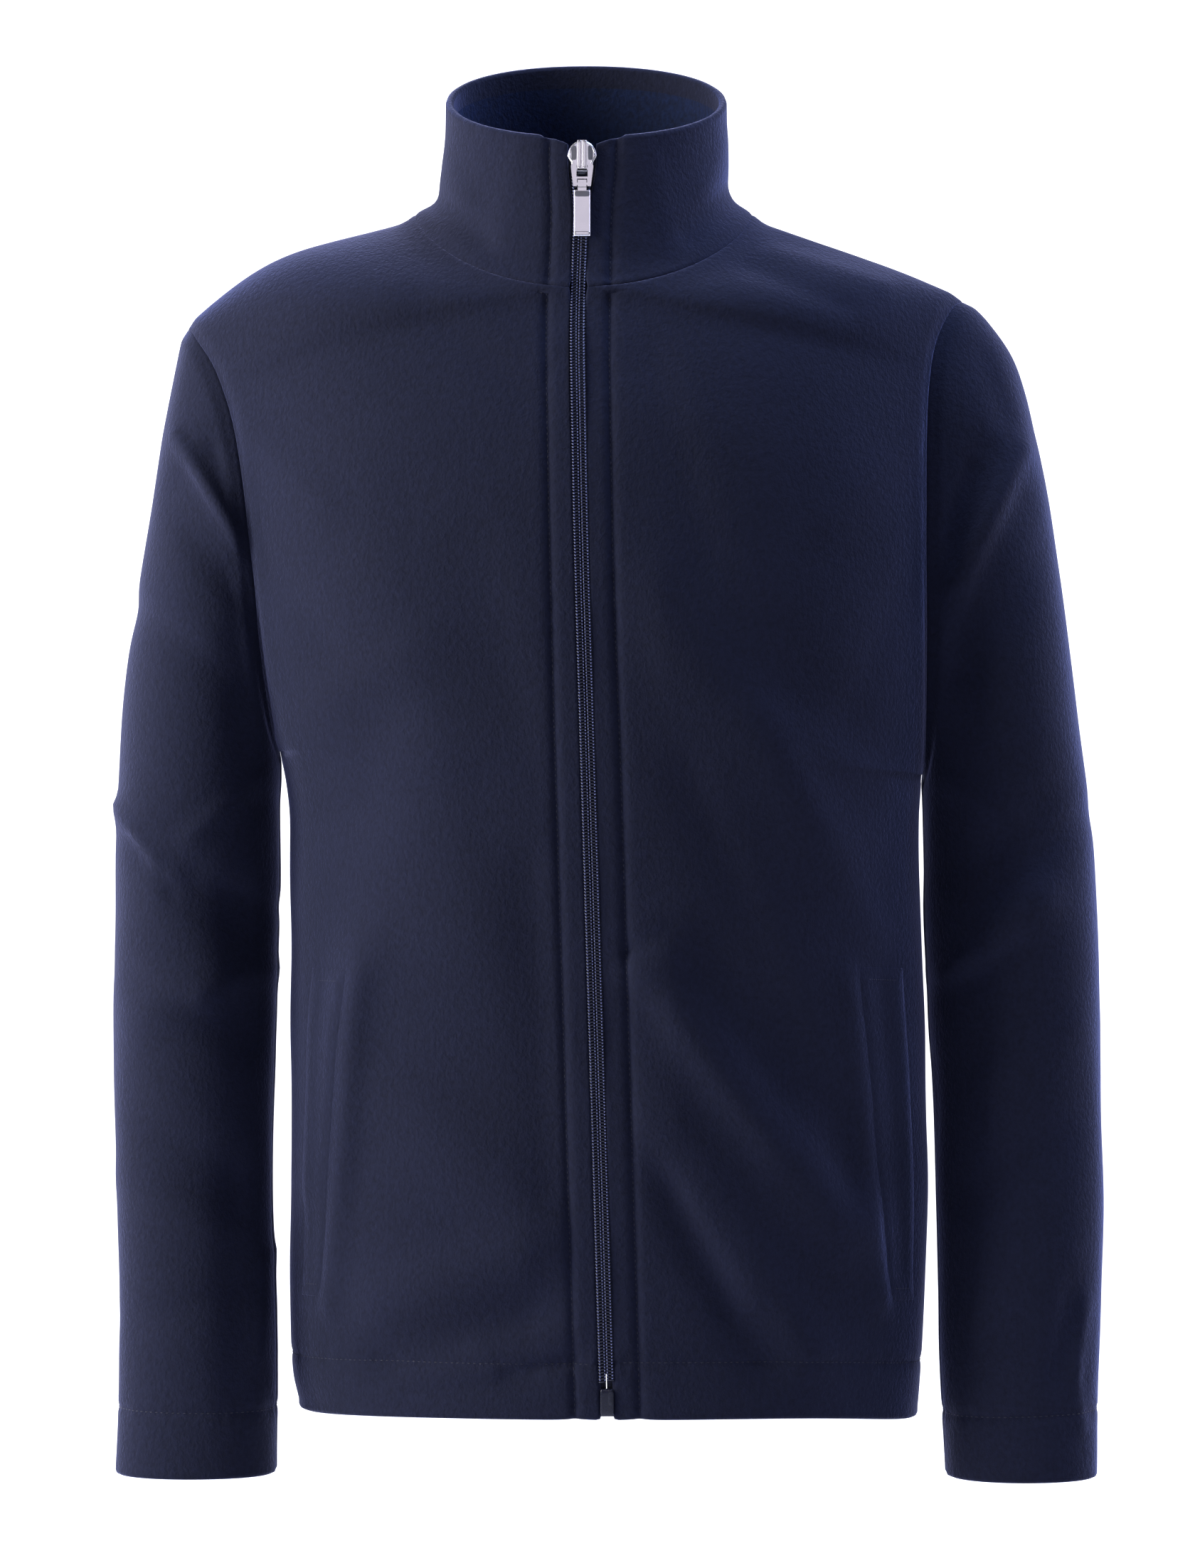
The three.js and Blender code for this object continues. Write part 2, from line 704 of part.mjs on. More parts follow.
function sleeveSheet(side) {
  const cuffCloth = (p) => (p.z < CUFF[side] + CUFF_DEPTH + 1 ? HEM_CLOTH : CLOTH);
  const spine = (p) => {
    const x = (outerX[side](p.z) + innerX[side](Math.min(p.z, ARMHOLE[side].bottom))) / 2;
    return at(x, 0, p.z > UPPER_ARM.top ? UPPER_ARM.middle : p.z);
  };
  const piece = sheet(`sleeve_${side}`, [sleeveGrid(side)], cuffCloth, spine, true);
  const { top, bottom } = ARMHOLE[side];
  const centre = at(armholeX[side](90), ARMHOLE_MIDDLE, (top + bottom) / 2);
  for (const face of ["front", "back"]) {
    for (const angle of ARM_STEPS[face]) {
      const corner = piece.corners[piece.found.get(keyOf(sleevePoint(side, 0, face, angle)))];
      corner.bias = centre.clone().sub(corner.place).normalize().multiplyScalar(LEAN_IN);
    }
  }
  return piece;
}

// The collar is one layer thick where the zip tape lies behind it, and two layers beyond.
function collarSheet() {
  const thick = (p) => (besideZip(p) ? CLOTH : COLLAR_CLOTH);
  return sheet("collar", [collarGrid()], thick, (p) => at(0, 0, p.z), true);
}

// Colours and finishes.
const NAVY = 0x23263e;
const navyFleece = () => new THREE.MeshStandardMaterial({ color: NAVY, roughness: 0.95, metalness: 0 });
const tapeCloth = () => new THREE.MeshStandardMaterial({ color: 0x14172b, roughness: 0.8, metalness: 0 });
const coilNylon = () => new THREE.MeshStandardMaterial({ color: 0x1a1c2c, roughness: 0.45, metalness: 0 });
const nickel = () => new THREE.MeshStandardMaterial({ color: 0xd9dadd, roughness: 0.25, metalness: 1 });

function mesh(name, geometry, material) {
  const made = new THREE.Mesh(geometry, material);
  made.name = name;
  return made;
}

// A geometry as a solid that can be joined and cut, and back.
function solid(geometry) {
  const bare = geometry.clone();
  bare.deleteAttribute("normal");
  bare.deleteAttribute("uv");
  const merged = mergeVertices(bare, 1e-4);
  const vertProperties = merged.attributes.position.array;
  const triVerts = new Uint32Array(merged.index.array);
  return new wasm.Manifold(new wasm.Mesh({ numProp: 3, vertProperties, triVerts }));
}

function joined(geometries) {
  const mesh3 = geometries.map(solid).reduce((a, b) => a.add(b)).getMesh();
  const geometry = new THREE.BufferGeometry();
  geometry.setAttribute("position", new THREE.BufferAttribute(mesh3.vertProperties, 3));
  geometry.setIndex(new THREE.BufferAttribute(mesh3.triVerts, 1));
  geometry.computeVertexNormals();
  return geometry;
}

// The corners beside the zip, from the hem to the rim: the front edge and the stitch line.
function zipEdge(side) {
  const angles = [...BELOW_NECK.front, FRONT_NECK_ANGLE];
  const levels = [...LOWER, ...angles.map((angle) => 2 - angle / 180)];
  const front = panels[`front_${side}`];
  const corner = (piece, place) => piece.corners[piece.found.get(keyOf(place))];
  const low = levels.map((level) => {
    const row = trunkRow(side, "front", level);
    return [0, stitchAt(row)].map((u) => corner(front, rowPoint(row, u, side, "front")));
  });
  const high = COLLAR_STEPS.slice(1, -1).map((rise) => (
    [0, NECK_STEPS[1]].map((angle) => corner(panels.collar, collarPoint(side, angle, rise)))
  ));
  return [...low, ...high];
}

// A zip tape lies behind the front edge and reaches from the middle of the zip past the stitching.
function zipTape(side) {
  const sections = zipEdge(side).map(([edge, stitch]) => {
    const a = innerPlace(edge).addScaledVector(edge.inward, TAPE.lay);
    const b = innerPlace(stitch).addScaledVector(stitch.inward, TAPE.lay);
    const across = b.clone().sub(a).normalize();
    const start = a.clone().addScaledVector(across, TAPE.inset - ZIP_EDGE);
    const end = start.clone().addScaledVector(across, TAPE.width);
    const back = edge.inward.clone().multiplyScalar(TAPE.thick);
    return [start, end, end.clone().add(back), start.clone().add(back)];
  });
  return strip(sections);
}

// The middle of the zip: place, direction to the inside, one for each row beside the zip.
function zipMiddle() {
  const left = zipEdge("left");
  return zipEdge("right").map(([edge], i) => ({
    place: edge.place.clone().lerp(left[i][0].place, 0.5),
    inward: edge.inward.clone().add(left[i][0].inward).setX(0).normalize(),
  }));
}

function zipChain(rows) {
  const across = at(CHAIN.half, 0, 0);
  return strip(rows.map(({ place, inward }) => {
    const face = place.clone().addScaledVector(inward, -CHAIN.proud);
    const back = place.clone().addScaledVector(inward, CHAIN.back);
    return [
      face.clone().sub(across), face.clone().add(across),
      back.clone().add(across), back.clone().sub(across),
    ];
  }));
}

// The box at the bottom of the zip, with the pin in it.
const BOX = { width: 7.6, height: 15.5, front: 1.2, back: 2.1, lift: 0.4 };
function zipBox(foot) {
  const geometry = new THREE.BoxGeometry(BOX.width, BOX.front + BOX.back, BOX.height);
  const z = HEM + BOX.lift + BOX.height / 2;
  geometry.translate(zipX(z), foot.place.y + (BOX.back - BOX.front) / 2, z);
  return geometry;
}

// Metal parts in the slider's own frame: z runs up the zip, -y stands off the cloth, and the front
// of the cloth is at y = 0.
const SLIDER = { crown: 8.2, waist: 5.4, top: 9, bottom: -9, widest: 0.5 };
const PLATE = { front: -0.5, thick: 1.6, back: 3.95, backThick: 1.4 };
const POST = { half: 1.7, from: 4.5, to: 8 };
const BRIDGE = { half: 2.7, from: -8.6, to: 8.2, foot: 1.7, gap: 3, thick: 1.4 };
const LINK_AXIS = { y: -3.5, z: -5.2 };
const LINK = {
  thick: 1.3, bar: 1.4, top: 6.4, bottom: 5, window: 3.2, reach: 6.8, cross: 1.2, eye: 2.9, eyeReach: 2.3,
  foot: 1.4, toe: 0.7,
};
const TAB = { half: 4.6, length: 27, thick: 1.8, wall: 0.85, hole: 1.15, neck: 2.5, gap: 1.6 };

// A flat plate from an outline in x and z, between two depths, with its edges taken off.
function plate(shape, y, thick, bevel = 0.25) {
  const geometry = new THREE.ExtrudeGeometry(shape, {
    depth: thick - 2 * bevel, bevelThickness: bevel, bevelSize: bevel, bevelOffset: -bevel,
    bevelSegments: 1, curveSegments: 10, bevelEnabled: bevel > 0,
  });
  return geometry.rotateX(Math.PI / 2).translate(0, y - bevel, 0);
}

function block(half, y0, y1, z0, z1) {
  const geometry = new THREE.BoxGeometry(2 * half, y1 - y0, z1 - z0);
  return geometry.translate(0, (y0 + y1) / 2, (z0 + z1) / 2);
}

// The slider's outline: a wide rounded crown that narrows to the waist.
function sliderShape() {
  const { crown, waist, top, bottom, widest } = SLIDER;
  const shape = new THREE.Shape();
  shape.moveTo(-waist, bottom);
  shape.lineTo(waist, bottom);
  shape.lineTo(waist + 0.8, widest - 4);
  shape.quadraticCurveTo(crown, widest - 1, crown, widest);
  shape.quadraticCurveTo(crown * 0.85, top, 0, top);
  shape.quadraticCurveTo(-crown * 0.85, top, -crown, widest);
  shape.quadraticCurveTo(-crown, widest - 1, -waist - 0.8, widest - 4);
  shape.closePath();
  return shape;
}

function sliderBody() {
  const face = PLATE.front - PLATE.thick;
  const beam = face - BRIDGE.gap;
  return joined([
    plate(sliderShape(), PLATE.front, PLATE.thick),
    plate(sliderShape(), PLATE.back + PLATE.backThick, PLATE.backThick),
    block(POST.half, PLATE.front - 0.5, PLATE.back + 0.5, POST.from, POST.to),
    block(BRIDGE.half, beam - 0.2, face + 0.3, BRIDGE.from, BRIDGE.from + BRIDGE.foot),
    block(BRIDGE.half, beam - 0.2, face + 0.3, BRIDGE.to - BRIDGE.foot, BRIDGE.to),
    block(BRIDGE.half, beam - BRIDGE.thick, beam, BRIDGE.from, BRIDGE.to),
  ]);
}

function rectangle(shape, half, z0, z1) {
  const hole = new THREE.Path();
  hole.moveTo(-half, z0);
  hole.lineTo(half, z0);
  hole.lineTo(half, z1);
  hole.lineTo(-half, z1);
  hole.closePath();
  shape.holes.push(hole);
}

// Heights in the link, down from its hinge bar: window for the bridge, cross bar, eye for the tab.
const WINDOW_TOP = LINK_AXIS.z - LINK.bar / 2;
const WINDOW_FOOT = WINDOW_TOP - LINK.reach;
const EYE_TOP = WINDOW_FOOT - LINK.cross;
const EYE_FOOT = EYE_TOP - LINK.eyeReach;
const TAB_AXIS = { y: LINK_AXIS.y, z: EYE_FOOT - LINK.foot / 2 };

function pullLink() {
  const shape = new THREE.Shape();
  const top = LINK_AXIS.z + LINK.bar / 2;
  const foot = EYE_FOOT - LINK.foot;
  shape.moveTo(-LINK.bottom, foot - LINK.toe);
  shape.lineTo(-TAB.neck - 0.5, foot - LINK.toe);
  shape.lineTo(-TAB.neck - 0.5, foot);
  shape.lineTo(TAB.neck + 0.5, foot);
  shape.lineTo(TAB.neck + 0.5, foot - LINK.toe);
  shape.lineTo(LINK.bottom, foot - LINK.toe);
  shape.lineTo(LINK.top, WINDOW_TOP - 1);
  shape.quadraticCurveTo(LINK.top, top, LINK.top - 2.2, top);
  shape.lineTo(2.2 - LINK.top, top);
  shape.quadraticCurveTo(-LINK.top, top, -LINK.top, WINDOW_TOP - 1);
  shape.closePath();
  rectangle(shape, LINK.window, WINDOW_FOOT, WINDOW_TOP);
  rectangle(shape, LINK.eye, EYE_FOOT, EYE_TOP);
  return plate(shape, LINK_AXIS.y + LINK.thick / 2, LINK.thick, 0);
}

// The tab hangs on the link's foot bar by a square eye.
function pullTab() {
  const { y, z } = TAB_AXIS;
  const out = TAB.hole + TAB.wall;
  const eye = [
    block(TAB.neck, y - out, y + out, z + TAB.hole, z + out),
    block(TAB.neck, y - out, y + out, z - out, z - TAB.hole),
    block(TAB.neck, y - out, y - TAB.hole, z - out, z + out),
    block(TAB.neck, y + TAB.hole, y + out, z - out, z + out),
  ];
  const top = z - out - TAB.gap;
  const neckPiece = block(TAB.neck, y - TAB.thick / 2, y + TAB.thick / 2, top - 0.5, z - out + 0.3);
  const shape = new THREE.Shape();
  shape.moveTo(-TAB.half, top - TAB.length);
  shape.lineTo(TAB.half, top - TAB.length);
  shape.lineTo(TAB.half, top);
  shape.lineTo(-TAB.half, top);
  shape.closePath();
  return joined([...eye, neckPiece, plate(shape, y + TAB.thick / 2, TAB.thick, 0.4)]);
}

// The pocket strips: where their front edge and their side edge lie along the rows of the front.
const WELT = table("z rightFront rightSide leftFront leftSide", [
  [-622, 0.655, 0.772, 0.632, 0.78],
  [-530, 0.6, 0.744, 0.565, 0.75],
  [-436, 0.522, 0.716, 0.518, 0.722],
]);
const WELT_CLOTH = 2;
const WELT_ROWS = 9;
const WELT_COLUMNS = 4;

function pocketWelt(side) {
  const front = curve(WELT, "z", `${side}Front`);
  const back = curve(WELT, "z", `${side}Side`);
  const surface = (z, share) => {
    const level = (z - HEM) / (ARMHOLE[side].bottom - HEM);
    const row = trunkRow(side, "front", level);
    return rowPoint(row, mix(front(z), back(z), share), side, "front");
  };
  const grid = [];
  for (let i = 0; i <= WELT_ROWS; i += 1) {
    const z = mix(WELT.z[0], WELT.z[WELT.z.length - 1], i / WELT_ROWS);
    grid.push([]);
    for (let j = 0; j <= WELT_COLUMNS; j += 1) {
      const share = j / WELT_COLUMNS;
      const here = surface(z, share);
      const up = surface(z + 1, share).sub(here);
      const along = surface(z, share + 0.02).sub(here);
      const out = up.cross(along).normalize().multiplyScalar(sign[side]);
      if (out.y > 0) out.negate();
      grid[i].push(here.addScaledVector(out, WELT_CLOTH + 2 * LAY));
    }
  }
  return wall(sheet(`pocket_welt_${side}`, [grid], () => WELT_CLOTH, onAxis));
}

const jacket = new THREE.Group();
const panels = {
  back: trunkSheet("back", "back", ["right", "left"]),
  front_right: trunkSheet("front_right", "front", ["right"]),
  front_left: trunkSheet("front_left", "front", ["left"]),
  sleeve_right: sleeveSheet("right"),
  sleeve_left: sleeveSheet("left"),
  collar: collarSheet(),
};
sew(Object.values(panels));
for (const piece of Object.values(panels)) jacket.add(mesh(piece.name, wall(piece), navyFleece()));

for (const side of ["right", "left"]) {
  jacket.add(mesh(`pocket_welt_${side}`, pocketWelt(side), navyFleece()));
  jacket.add(mesh(`zip_tape_${side}`, zipTape(side), tapeCloth()));
}

const zipRows = zipMiddle();
jacket.add(mesh("zip_chain", zipChain(zipRows.slice(1, -1)), coilNylon()));
jacket.add(mesh("zip_box", zipBox(zipRows[0]), coilNylon()));

// The slider stands at the top of the zip, leaning back with the collar.
const SLIDER_HEIGHT = 27;
const low = zipRows.at(-3).place;
const high = zipRows.at(-1).place;
const slider = new THREE.Group();
slider.position.copy(low.clone().lerp(high, (SLIDER_HEIGHT - low.z) / (high.z - low.z)));
slider.rotation.x = -Math.atan2(high.y - low.y, high.z - low.z);
slider.add(mesh("zip_slider", sliderBody(), nickel()));
slider.add(mesh("pull_link", pullLink(), nickel()));
slider.add(mesh("pull_tab", pullTab(), nickel()));
jacket.add(slider);

export default jacket;
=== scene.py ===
# %% [markdown]
# # A fleece jacket with a zip
# The jacket stands in its worn shape with nobody in it. Its solids are already there: the frame brings
# them in, and every piece below is cloth, thread, coil or metal that takes their place. We load the
# frame first, because each new piece has to lie on one of its bodies.

# %% Load the frame
import math

import bpy
import numpy as np
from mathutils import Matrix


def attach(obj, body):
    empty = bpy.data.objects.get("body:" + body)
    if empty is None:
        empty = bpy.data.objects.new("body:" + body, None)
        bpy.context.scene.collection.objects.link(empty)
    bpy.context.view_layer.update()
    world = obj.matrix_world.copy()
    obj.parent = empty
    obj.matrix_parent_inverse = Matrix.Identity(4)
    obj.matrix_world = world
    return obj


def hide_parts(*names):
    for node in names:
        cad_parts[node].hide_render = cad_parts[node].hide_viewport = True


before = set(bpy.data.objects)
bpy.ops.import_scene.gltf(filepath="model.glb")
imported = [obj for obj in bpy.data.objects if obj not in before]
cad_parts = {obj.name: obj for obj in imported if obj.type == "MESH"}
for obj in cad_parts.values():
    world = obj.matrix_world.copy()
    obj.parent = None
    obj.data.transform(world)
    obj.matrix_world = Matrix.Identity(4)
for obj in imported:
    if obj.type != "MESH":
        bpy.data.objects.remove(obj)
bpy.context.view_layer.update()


MM = 0.001

# %% [markdown]
# ## Numbers before shapes
# A tailor works from a size table. So do we: each outline is a short table with named columns, and a
# smooth curve runs through its rows. Everything is in millimetres until a mesh is made. +Z is up, the
# front faces -Y, and "right" is the wearer's right, at -X.

# %% Tables and curves
def table(header, rows):
    """Named columns from a header and rows of numbers."""
    return dict(zip(header.split(), np.array(rows, float).T))


def curve(columns, start, end):
    """A smooth curve of one column over another: between two rows a cubic whose slope at each row is
    that of the line through the rows on both sides of it, and level past the ends."""
    x, y = columns[start], columns[end]
    before = np.maximum(np.arange(len(x)) - 1, 0)
    after = np.minimum(np.arange(len(x)) + 1, len(x) - 1)
    slope = (y[after] - y[before]) / (x[after] - x[before])

    def value(at):
        at = np.clip(at, x[0], x[-1])
        i = np.clip(np.searchsorted(x, at, side="left") - 1, 0, len(x) - 2)
        span = x[i + 1] - x[i]
        t = (at - x[i]) / span
        bend = t * (1 - t) ** 2 * span * slope[i] + t * t * (t - 1) * span * slope[i + 1]
        return y[i] + (y[i + 1] - y[i]) * t * t * (3 - 2 * t) + bend

    return value


def mix(a, b, t):
    """a at t = 0, b at t = 1 and a straight line between."""
    return a + (b - a) * t


def ease(t):
    """0 before t = 0, 1 after t = 1, and t t (3 - 2 t) between."""
    t = np.clip(t, 0, 1)
    return t * t * (3 - 2 * t)


def unit(vectors):
    """The vectors at length 1."""
    return vectors / np.maximum(np.linalg.norm(vectors, axis=-1, keepdims=True), 1e-9)


def place(x, y, z):
    """Points from their three coordinates."""
    return np.stack(np.broadcast_arrays(x, y, z), -1).astype(float)


def between(at, places, vectors):
    """Vectors at some places along a line, in straight steps between the ones that are known."""
    return np.stack([np.interp(at, places, vectors[:, i]) for i in range(3)], -1)


print("helpers ready")

# %% Sizes of the jacket
CLOTH = 2.0  # fleece, one layer
HEM_CLOTH = 3.8  # fleece folded once to the inside
COLLAR_CLOTH = 4.8
HEM_DEPTH = 30.0
CUFF_DEPTH = 40.0
STITCH = 13.0  # from the front edge to the topstitching beside the zip
HEM = -688.0
HEM_DROP = {"right": 5.0, "left": 10.0}  # how much lower the hem hangs at the side seams
HEM_BEND = 4
NECK_FRONT = -49.0
NECK_BACK = 14.0
UNDERARM = -318.0
ZIP_EDGE = 5.3  # half of the zip's opening, to where the round edge of the cloth begins
ZIP_EDGE_TOP = 9.0
OPENS_FROM, OPENS_OVER = -8, 34  # the height where the zip starts to open, and over how many mm
SIGN = {"right": -1, "left": 1}
FACING = {"front": -1, "back": 1}

TRUNK = table("z right left", [
    (-685, -167, 195), (-670, -170, 196), (-640, -171.5, 197.5), (-560, -172, 200.5),
    (-480, -172, 199.5), (-400, -172, 196.5), (-350, -172.5, 195.5), (-326, -175, 197),
    (-312, -178, 198),
])
SLEEVE_OUTER = {
    "right": table("z x", [
        (-737, -272), (-664, -270.5), (-580, -272), (-497, -275), (-414, -275.5), (-330, -273),
        (-289, -270.5), (-247, -266), (-205, -260), (-164, -253), (-122, -246.5), (-101, -242.5),
        (-80, -238), (-64, -234.5),
    ]),
    "left": table("z x", [
        (-739, 296.5), (-664, 299), (-580, 302), (-497, 302), (-414, 300), (-330, 294), (-289, 289),
        (-247, 284), (-205, 278), (-164, 272), (-122, 263.5), (-101, 258), (-80, 249.5),
        (-60, 235.5), (-47, 223),
    ]),
}
SLEEVE_INNER = {
    "right": table("z x", [
        (-737, -178), (-664, -179), (-580, -182), (-497, -181), (-414, -179.5), (-350, -179),
        (-312, -178),
    ]),
    "left": table("z x", [
        (-739, 209), (-664, 206.5), (-580, 205), (-497, 202.5), (-414, 199.5), (-370, 198.5),
        (-326, 198),
    ]),
}
ZIP_LINE = table("z y x", [
    (-685, -116, 13), (-600, -118, 10.5), (-500, -121, 7.5), (-400, -127, 4.5), (-300, -132, 1.5),
    (-200, -129, -1.5), (-120, -115, -3.2), (-80, -102.5, -3.8), (-49, -90, -3.4), (-5, -80.5, -2),
    (37, -73, -1.2),
])
BACK_LINE = table("z y", [
    (-685, 113), (-600, 110), (-450, 105), (-300, 114), (-200, 121), (-130, 120), (-70, 107),
    (-20, 87), (14, 72),
])
BACK_LEAN = 13.0
print("outlines", len(TRUNK["z"]), "rows on the trunk")

# %% [markdown]
# ## The shape of the trunk
# A jacket front runs from the hem to the shoulder, past the neck on one side and the armhole on the
# other. We describe it as a stack of rows. Each row starts at an inner edge (the zip, then the neck
# seam) and ends at an outer edge (the side seam, then the armhole), and between them it follows the
# arc of a squarish ellipse, as cloth does around a chest. A row is named by its level: 0 is the hem, 1
# the underarm and 2 the shoulder seam. Above the underarm, the level stands for an angle around the
# armhole, so the last rows fan up to the shoulder seam.

# %% The armhole and the neck seam
ARMHOLE = {"right": (-64.0, -312.0), "left": (-47.0, -326.0)}  # heights of its top and its bottom
ARMHOLE_SIDE = table("angle right left", [
    (0, -234.5, 223), (20, -228, 214), (40, -214.5, 203.5), (60, -203.5, 199), (90, -194, 198),
    (120, -188, 198.5), (150, -182, 198.5), (180, -178, 198),
])
ARMHOLE_DEPTH = 56.0
ARMHOLE_MIDDLE = 3.0
ARM_ROUND = 0.8
NECK = {"half": 97.5, "middle": -0.5, "front": -90.0, "side": -4.0, "back": 72.0}
trunk_side = {side: curve(TRUNK, "z", side) for side in SIGN}
armhole_x = {side: curve(ARMHOLE_SIDE, "angle", side) for side in SIGN}
zip_x = curve(ZIP_LINE, "z", "x")
zip_y = curve(ZIP_LINE, "z", "y")
back_y = curve(BACK_LINE, "z", "y")


def zip_gap(z):
    """Half of the zip's opening: narrow down the front and eased open over 34 mm at the slider."""
    return mix(ZIP_EDGE, ZIP_EDGE_TOP, ease((z - OPENS_FROM) / OPENS_OVER))


def armhole(side, face, angle):
    """A point of the armhole seam: height by the cosine of the angle and depth by its sine to the
    power 0.8, which is blunter than an oval. Angle 0 is the shoulder and 180 the underarm."""
    top, bottom = ARMHOLE[side]
    turn = np.radians(angle)
    y = ARMHOLE_MIDDLE + FACING[face] * ARMHOLE_DEPTH * np.abs(np.sin(turn)) ** ARM_ROUND
    return place(armhole_x[side](angle), y, (top + bottom) / 2 + (top - bottom) / 2 * np.cos(turn))


def neck(side, angle):
    """A point of the neck seam: angle 0 is the zip, 90 the shoulder seam and 180 the middle of the
    back. Width goes by the sine, depth by the cosine, and height by a power of the cosine."""
    turn = np.radians(angle)
    c, s = np.abs(np.cos(turn)), np.sin(turn)
    front = np.asarray(angle) < 90
    start = np.where(front, SIGN[side] * ZIP_EDGE + zip_x(NECK_FRONT), NECK["middle"])
    x = start + (NECK["middle"] + SIGN[side] * NECK["half"] - start) * s
    y = NECK["side"] + (np.where(front, NECK["front"], NECK["back"]) - NECK["side"]) * c
    return place(x, y, np.where(front, NECK_FRONT * c ** 1.3, NECK_BACK * c ** 1.2))


print("armhole top", armhole("left", "front", 0.0).round(1), "neck side", neck("left", 90.0).round(1))

# %% Rows of the trunk
ROWS = table("angle turn boxy frontCrown backCrown", [
    (0, 2, 1, 0, 0), (20, 24, 1, 4, 9), (40, 42, 1, 6, 12), (60, 54, 0.96, 6, 9),
    (90, 64, 0.92, 4, 4), (120, 70, 0.9, 2, 2), (150, 78, 0.87, 0, 0), (180, 90, 0.86, 0, 0),
])
NECK_ANGLE = {"front": 48.0, "back": 34.0}  # armhole angle of the row that ends at the neck seam
SHOULDER_LIFT = {"right": 14.0, "left": 2.0}
SHOULDER_SKEW = 1.35
row_turn, row_boxy = curve(ROWS, "angle", "turn"), curve(ROWS, "angle", "boxy")
row_crown = {face: curve(ROWS, "angle", face + "Crown") for face in FACING}


def inner_edge(side, face, z):
    """The zip edge in front, and behind the middle line, which leans a little as it goes down."""
    if face == "front":
        return place(zip_x(z) + SIGN[side] * zip_gap(z), zip_y(z), z)
    lean = BACK_LEAN * np.clip((NECK_BACK - z) / (NECK_BACK - HEM), 0, 1)
    return place(NECK["middle"] + lean, back_y(z), z)


def trunk_rows(side, face, level):
    """The rows at some levels: their two ends, how far each turns around the body, how boxy its arc
    is, how far its middle stands out (crown) and up (lift), and how far its outer end drops."""
    low = level <= 1
    angle = np.where(low, 180.0, 180 * (2 - level))
    fall = mix(HEM, ARMHOLE[side][1], level)
    drop = np.where(low, HEM_DROP[side] * (1 - level), 0)
    outer = np.where(low[:, None], place(trunk_side[side](fall), ARMHOLE_MIDDLE, fall - drop),
                     armhole(side, face, angle))
    at_neck = NECK_ANGLE[face]
    rise = (180 - angle) / (180 - at_neck)
    top = NECK_FRONT if face == "front" else NECK_BACK
    edge = inner_edge(side, face, np.where(low, mix(HEM, UNDERARM, level), mix(UNDERARM, top, rise)))
    round_neck = 90 * (1 - np.minimum(angle, at_neck) / at_neck)
    seam = neck(side, round_neck if face == "front" else 180 - round_neck)
    return {
        "inner": np.where((angle < at_neck)[:, None], seam, edge), "outer": outer,
        "turn": np.radians(np.where(low, 90.0, row_turn(angle)))[:, None],
        "boxy": np.where(low, 0.86, row_boxy(angle))[:, None],
        "crown": np.where(low, 0.0, row_crown[face](angle))[:, None],
        "lift": np.where(low, 0, SHOULDER_LIFT[side] * np.cos(np.radians(np.minimum(angle, 90))) ** 2)[:, None],
        "drop": drop[:, None],
    }


print("rows", trunk_rows("left", "front", np.array([0.0, 1.0, 2.0]))["outer"].round(0).tolist())

# %% [markdown]
# ## Folds
# Cloth that hangs over an arm or a chest breaks into soft ridges and troughs. Each one is set
# along a line seen from the front: where it starts and ends, how wide it is and how high. Across the
# line it is a bell curve, steeper above than below, because the cloth above slides down over it.

# %% Fold tables
FOLD_COLUMNS = "fromX fromZ toX toZ wide high"
FOLDS = {
    "sleeve_right": table(FOLD_COLUMNS, [
        (-238, -128, -199, -190, 13, 5), (-238, -166, -196, -222, 14, -4),
        (-270, -344, -242, -382, 14, 5), (-254, -372, -192, -414, 15, -5),
        (-262, -465, -196, -440, 16, 4), (-262, -520, -200, -560, 18, -3.5),
    ]),
    "sleeve_left": table(FOLD_COLUMNS, [
        (256, -136, 211, -218, 13, 5), (228, -140, 203, -202, 12, -4), (270, -190, 216, -262, 15, -3.5),
        (286, -330, 232, -375, 17, -4), (206, -442, 262, -398, 14, 4.5), (290, -520, 228, -565, 18, -4),
    ]),
    "front_right": table(FOLD_COLUMNS, [
        (-115, -625, -10, -588, 18, 4.5), (-112, -658, -8, -622, 14, -4),
        (-150, -560, -128, -430, 16, 4), (-120, -300, -150, -420, 24, -3),
    ]),
    "front_left": table(FOLD_COLUMNS, [
        (32, -430, 150, -585, 18, 5), (74, -425, 150, -552, 18, -4), (30, -500, 128, -652, 16, 4.5),
        (44, -550, 104, -654, 15, -4), (32, -228, 140, -362, 24, 3.5),
    ]),
    "back": table(FOLD_COLUMNS, [
        (-120, -300, -40, -420, 24, 4), (120, -280, 50, -440, 26, -4),
        (-90, -470, 30, -520, 22, 4), (110, -520, 20, -600, 24, -3),
    ]),
}


def fold_height(folds, points, steep=1.0):
    """Sum of bell curves h exp(-r r): r is the distance from the fold's line over its width, and on
    the upper side of the line the width is divided by `steep`."""
    x, z = points[..., 0, None], points[..., 2, None]
    along_x, along_z = folds["toX"] - folds["fromX"], folds["toZ"] - folds["fromZ"]
    length = np.hypot(along_x, along_z)
    dx, dz = x - folds["fromX"], z - folds["fromZ"]
    along = (dx * along_x + dz * along_z) / length
    past = np.maximum(np.maximum(-along, along - length), 0)
    across = (dx * along_z - dz * along_x) / length
    above = across * np.sign(-along_x) > 0
    reach = np.hypot(across * np.where(above, steep, 1), past) / folds["wide"]
    return (folds["high"] * np.exp(-reach * reach)).sum(-1)


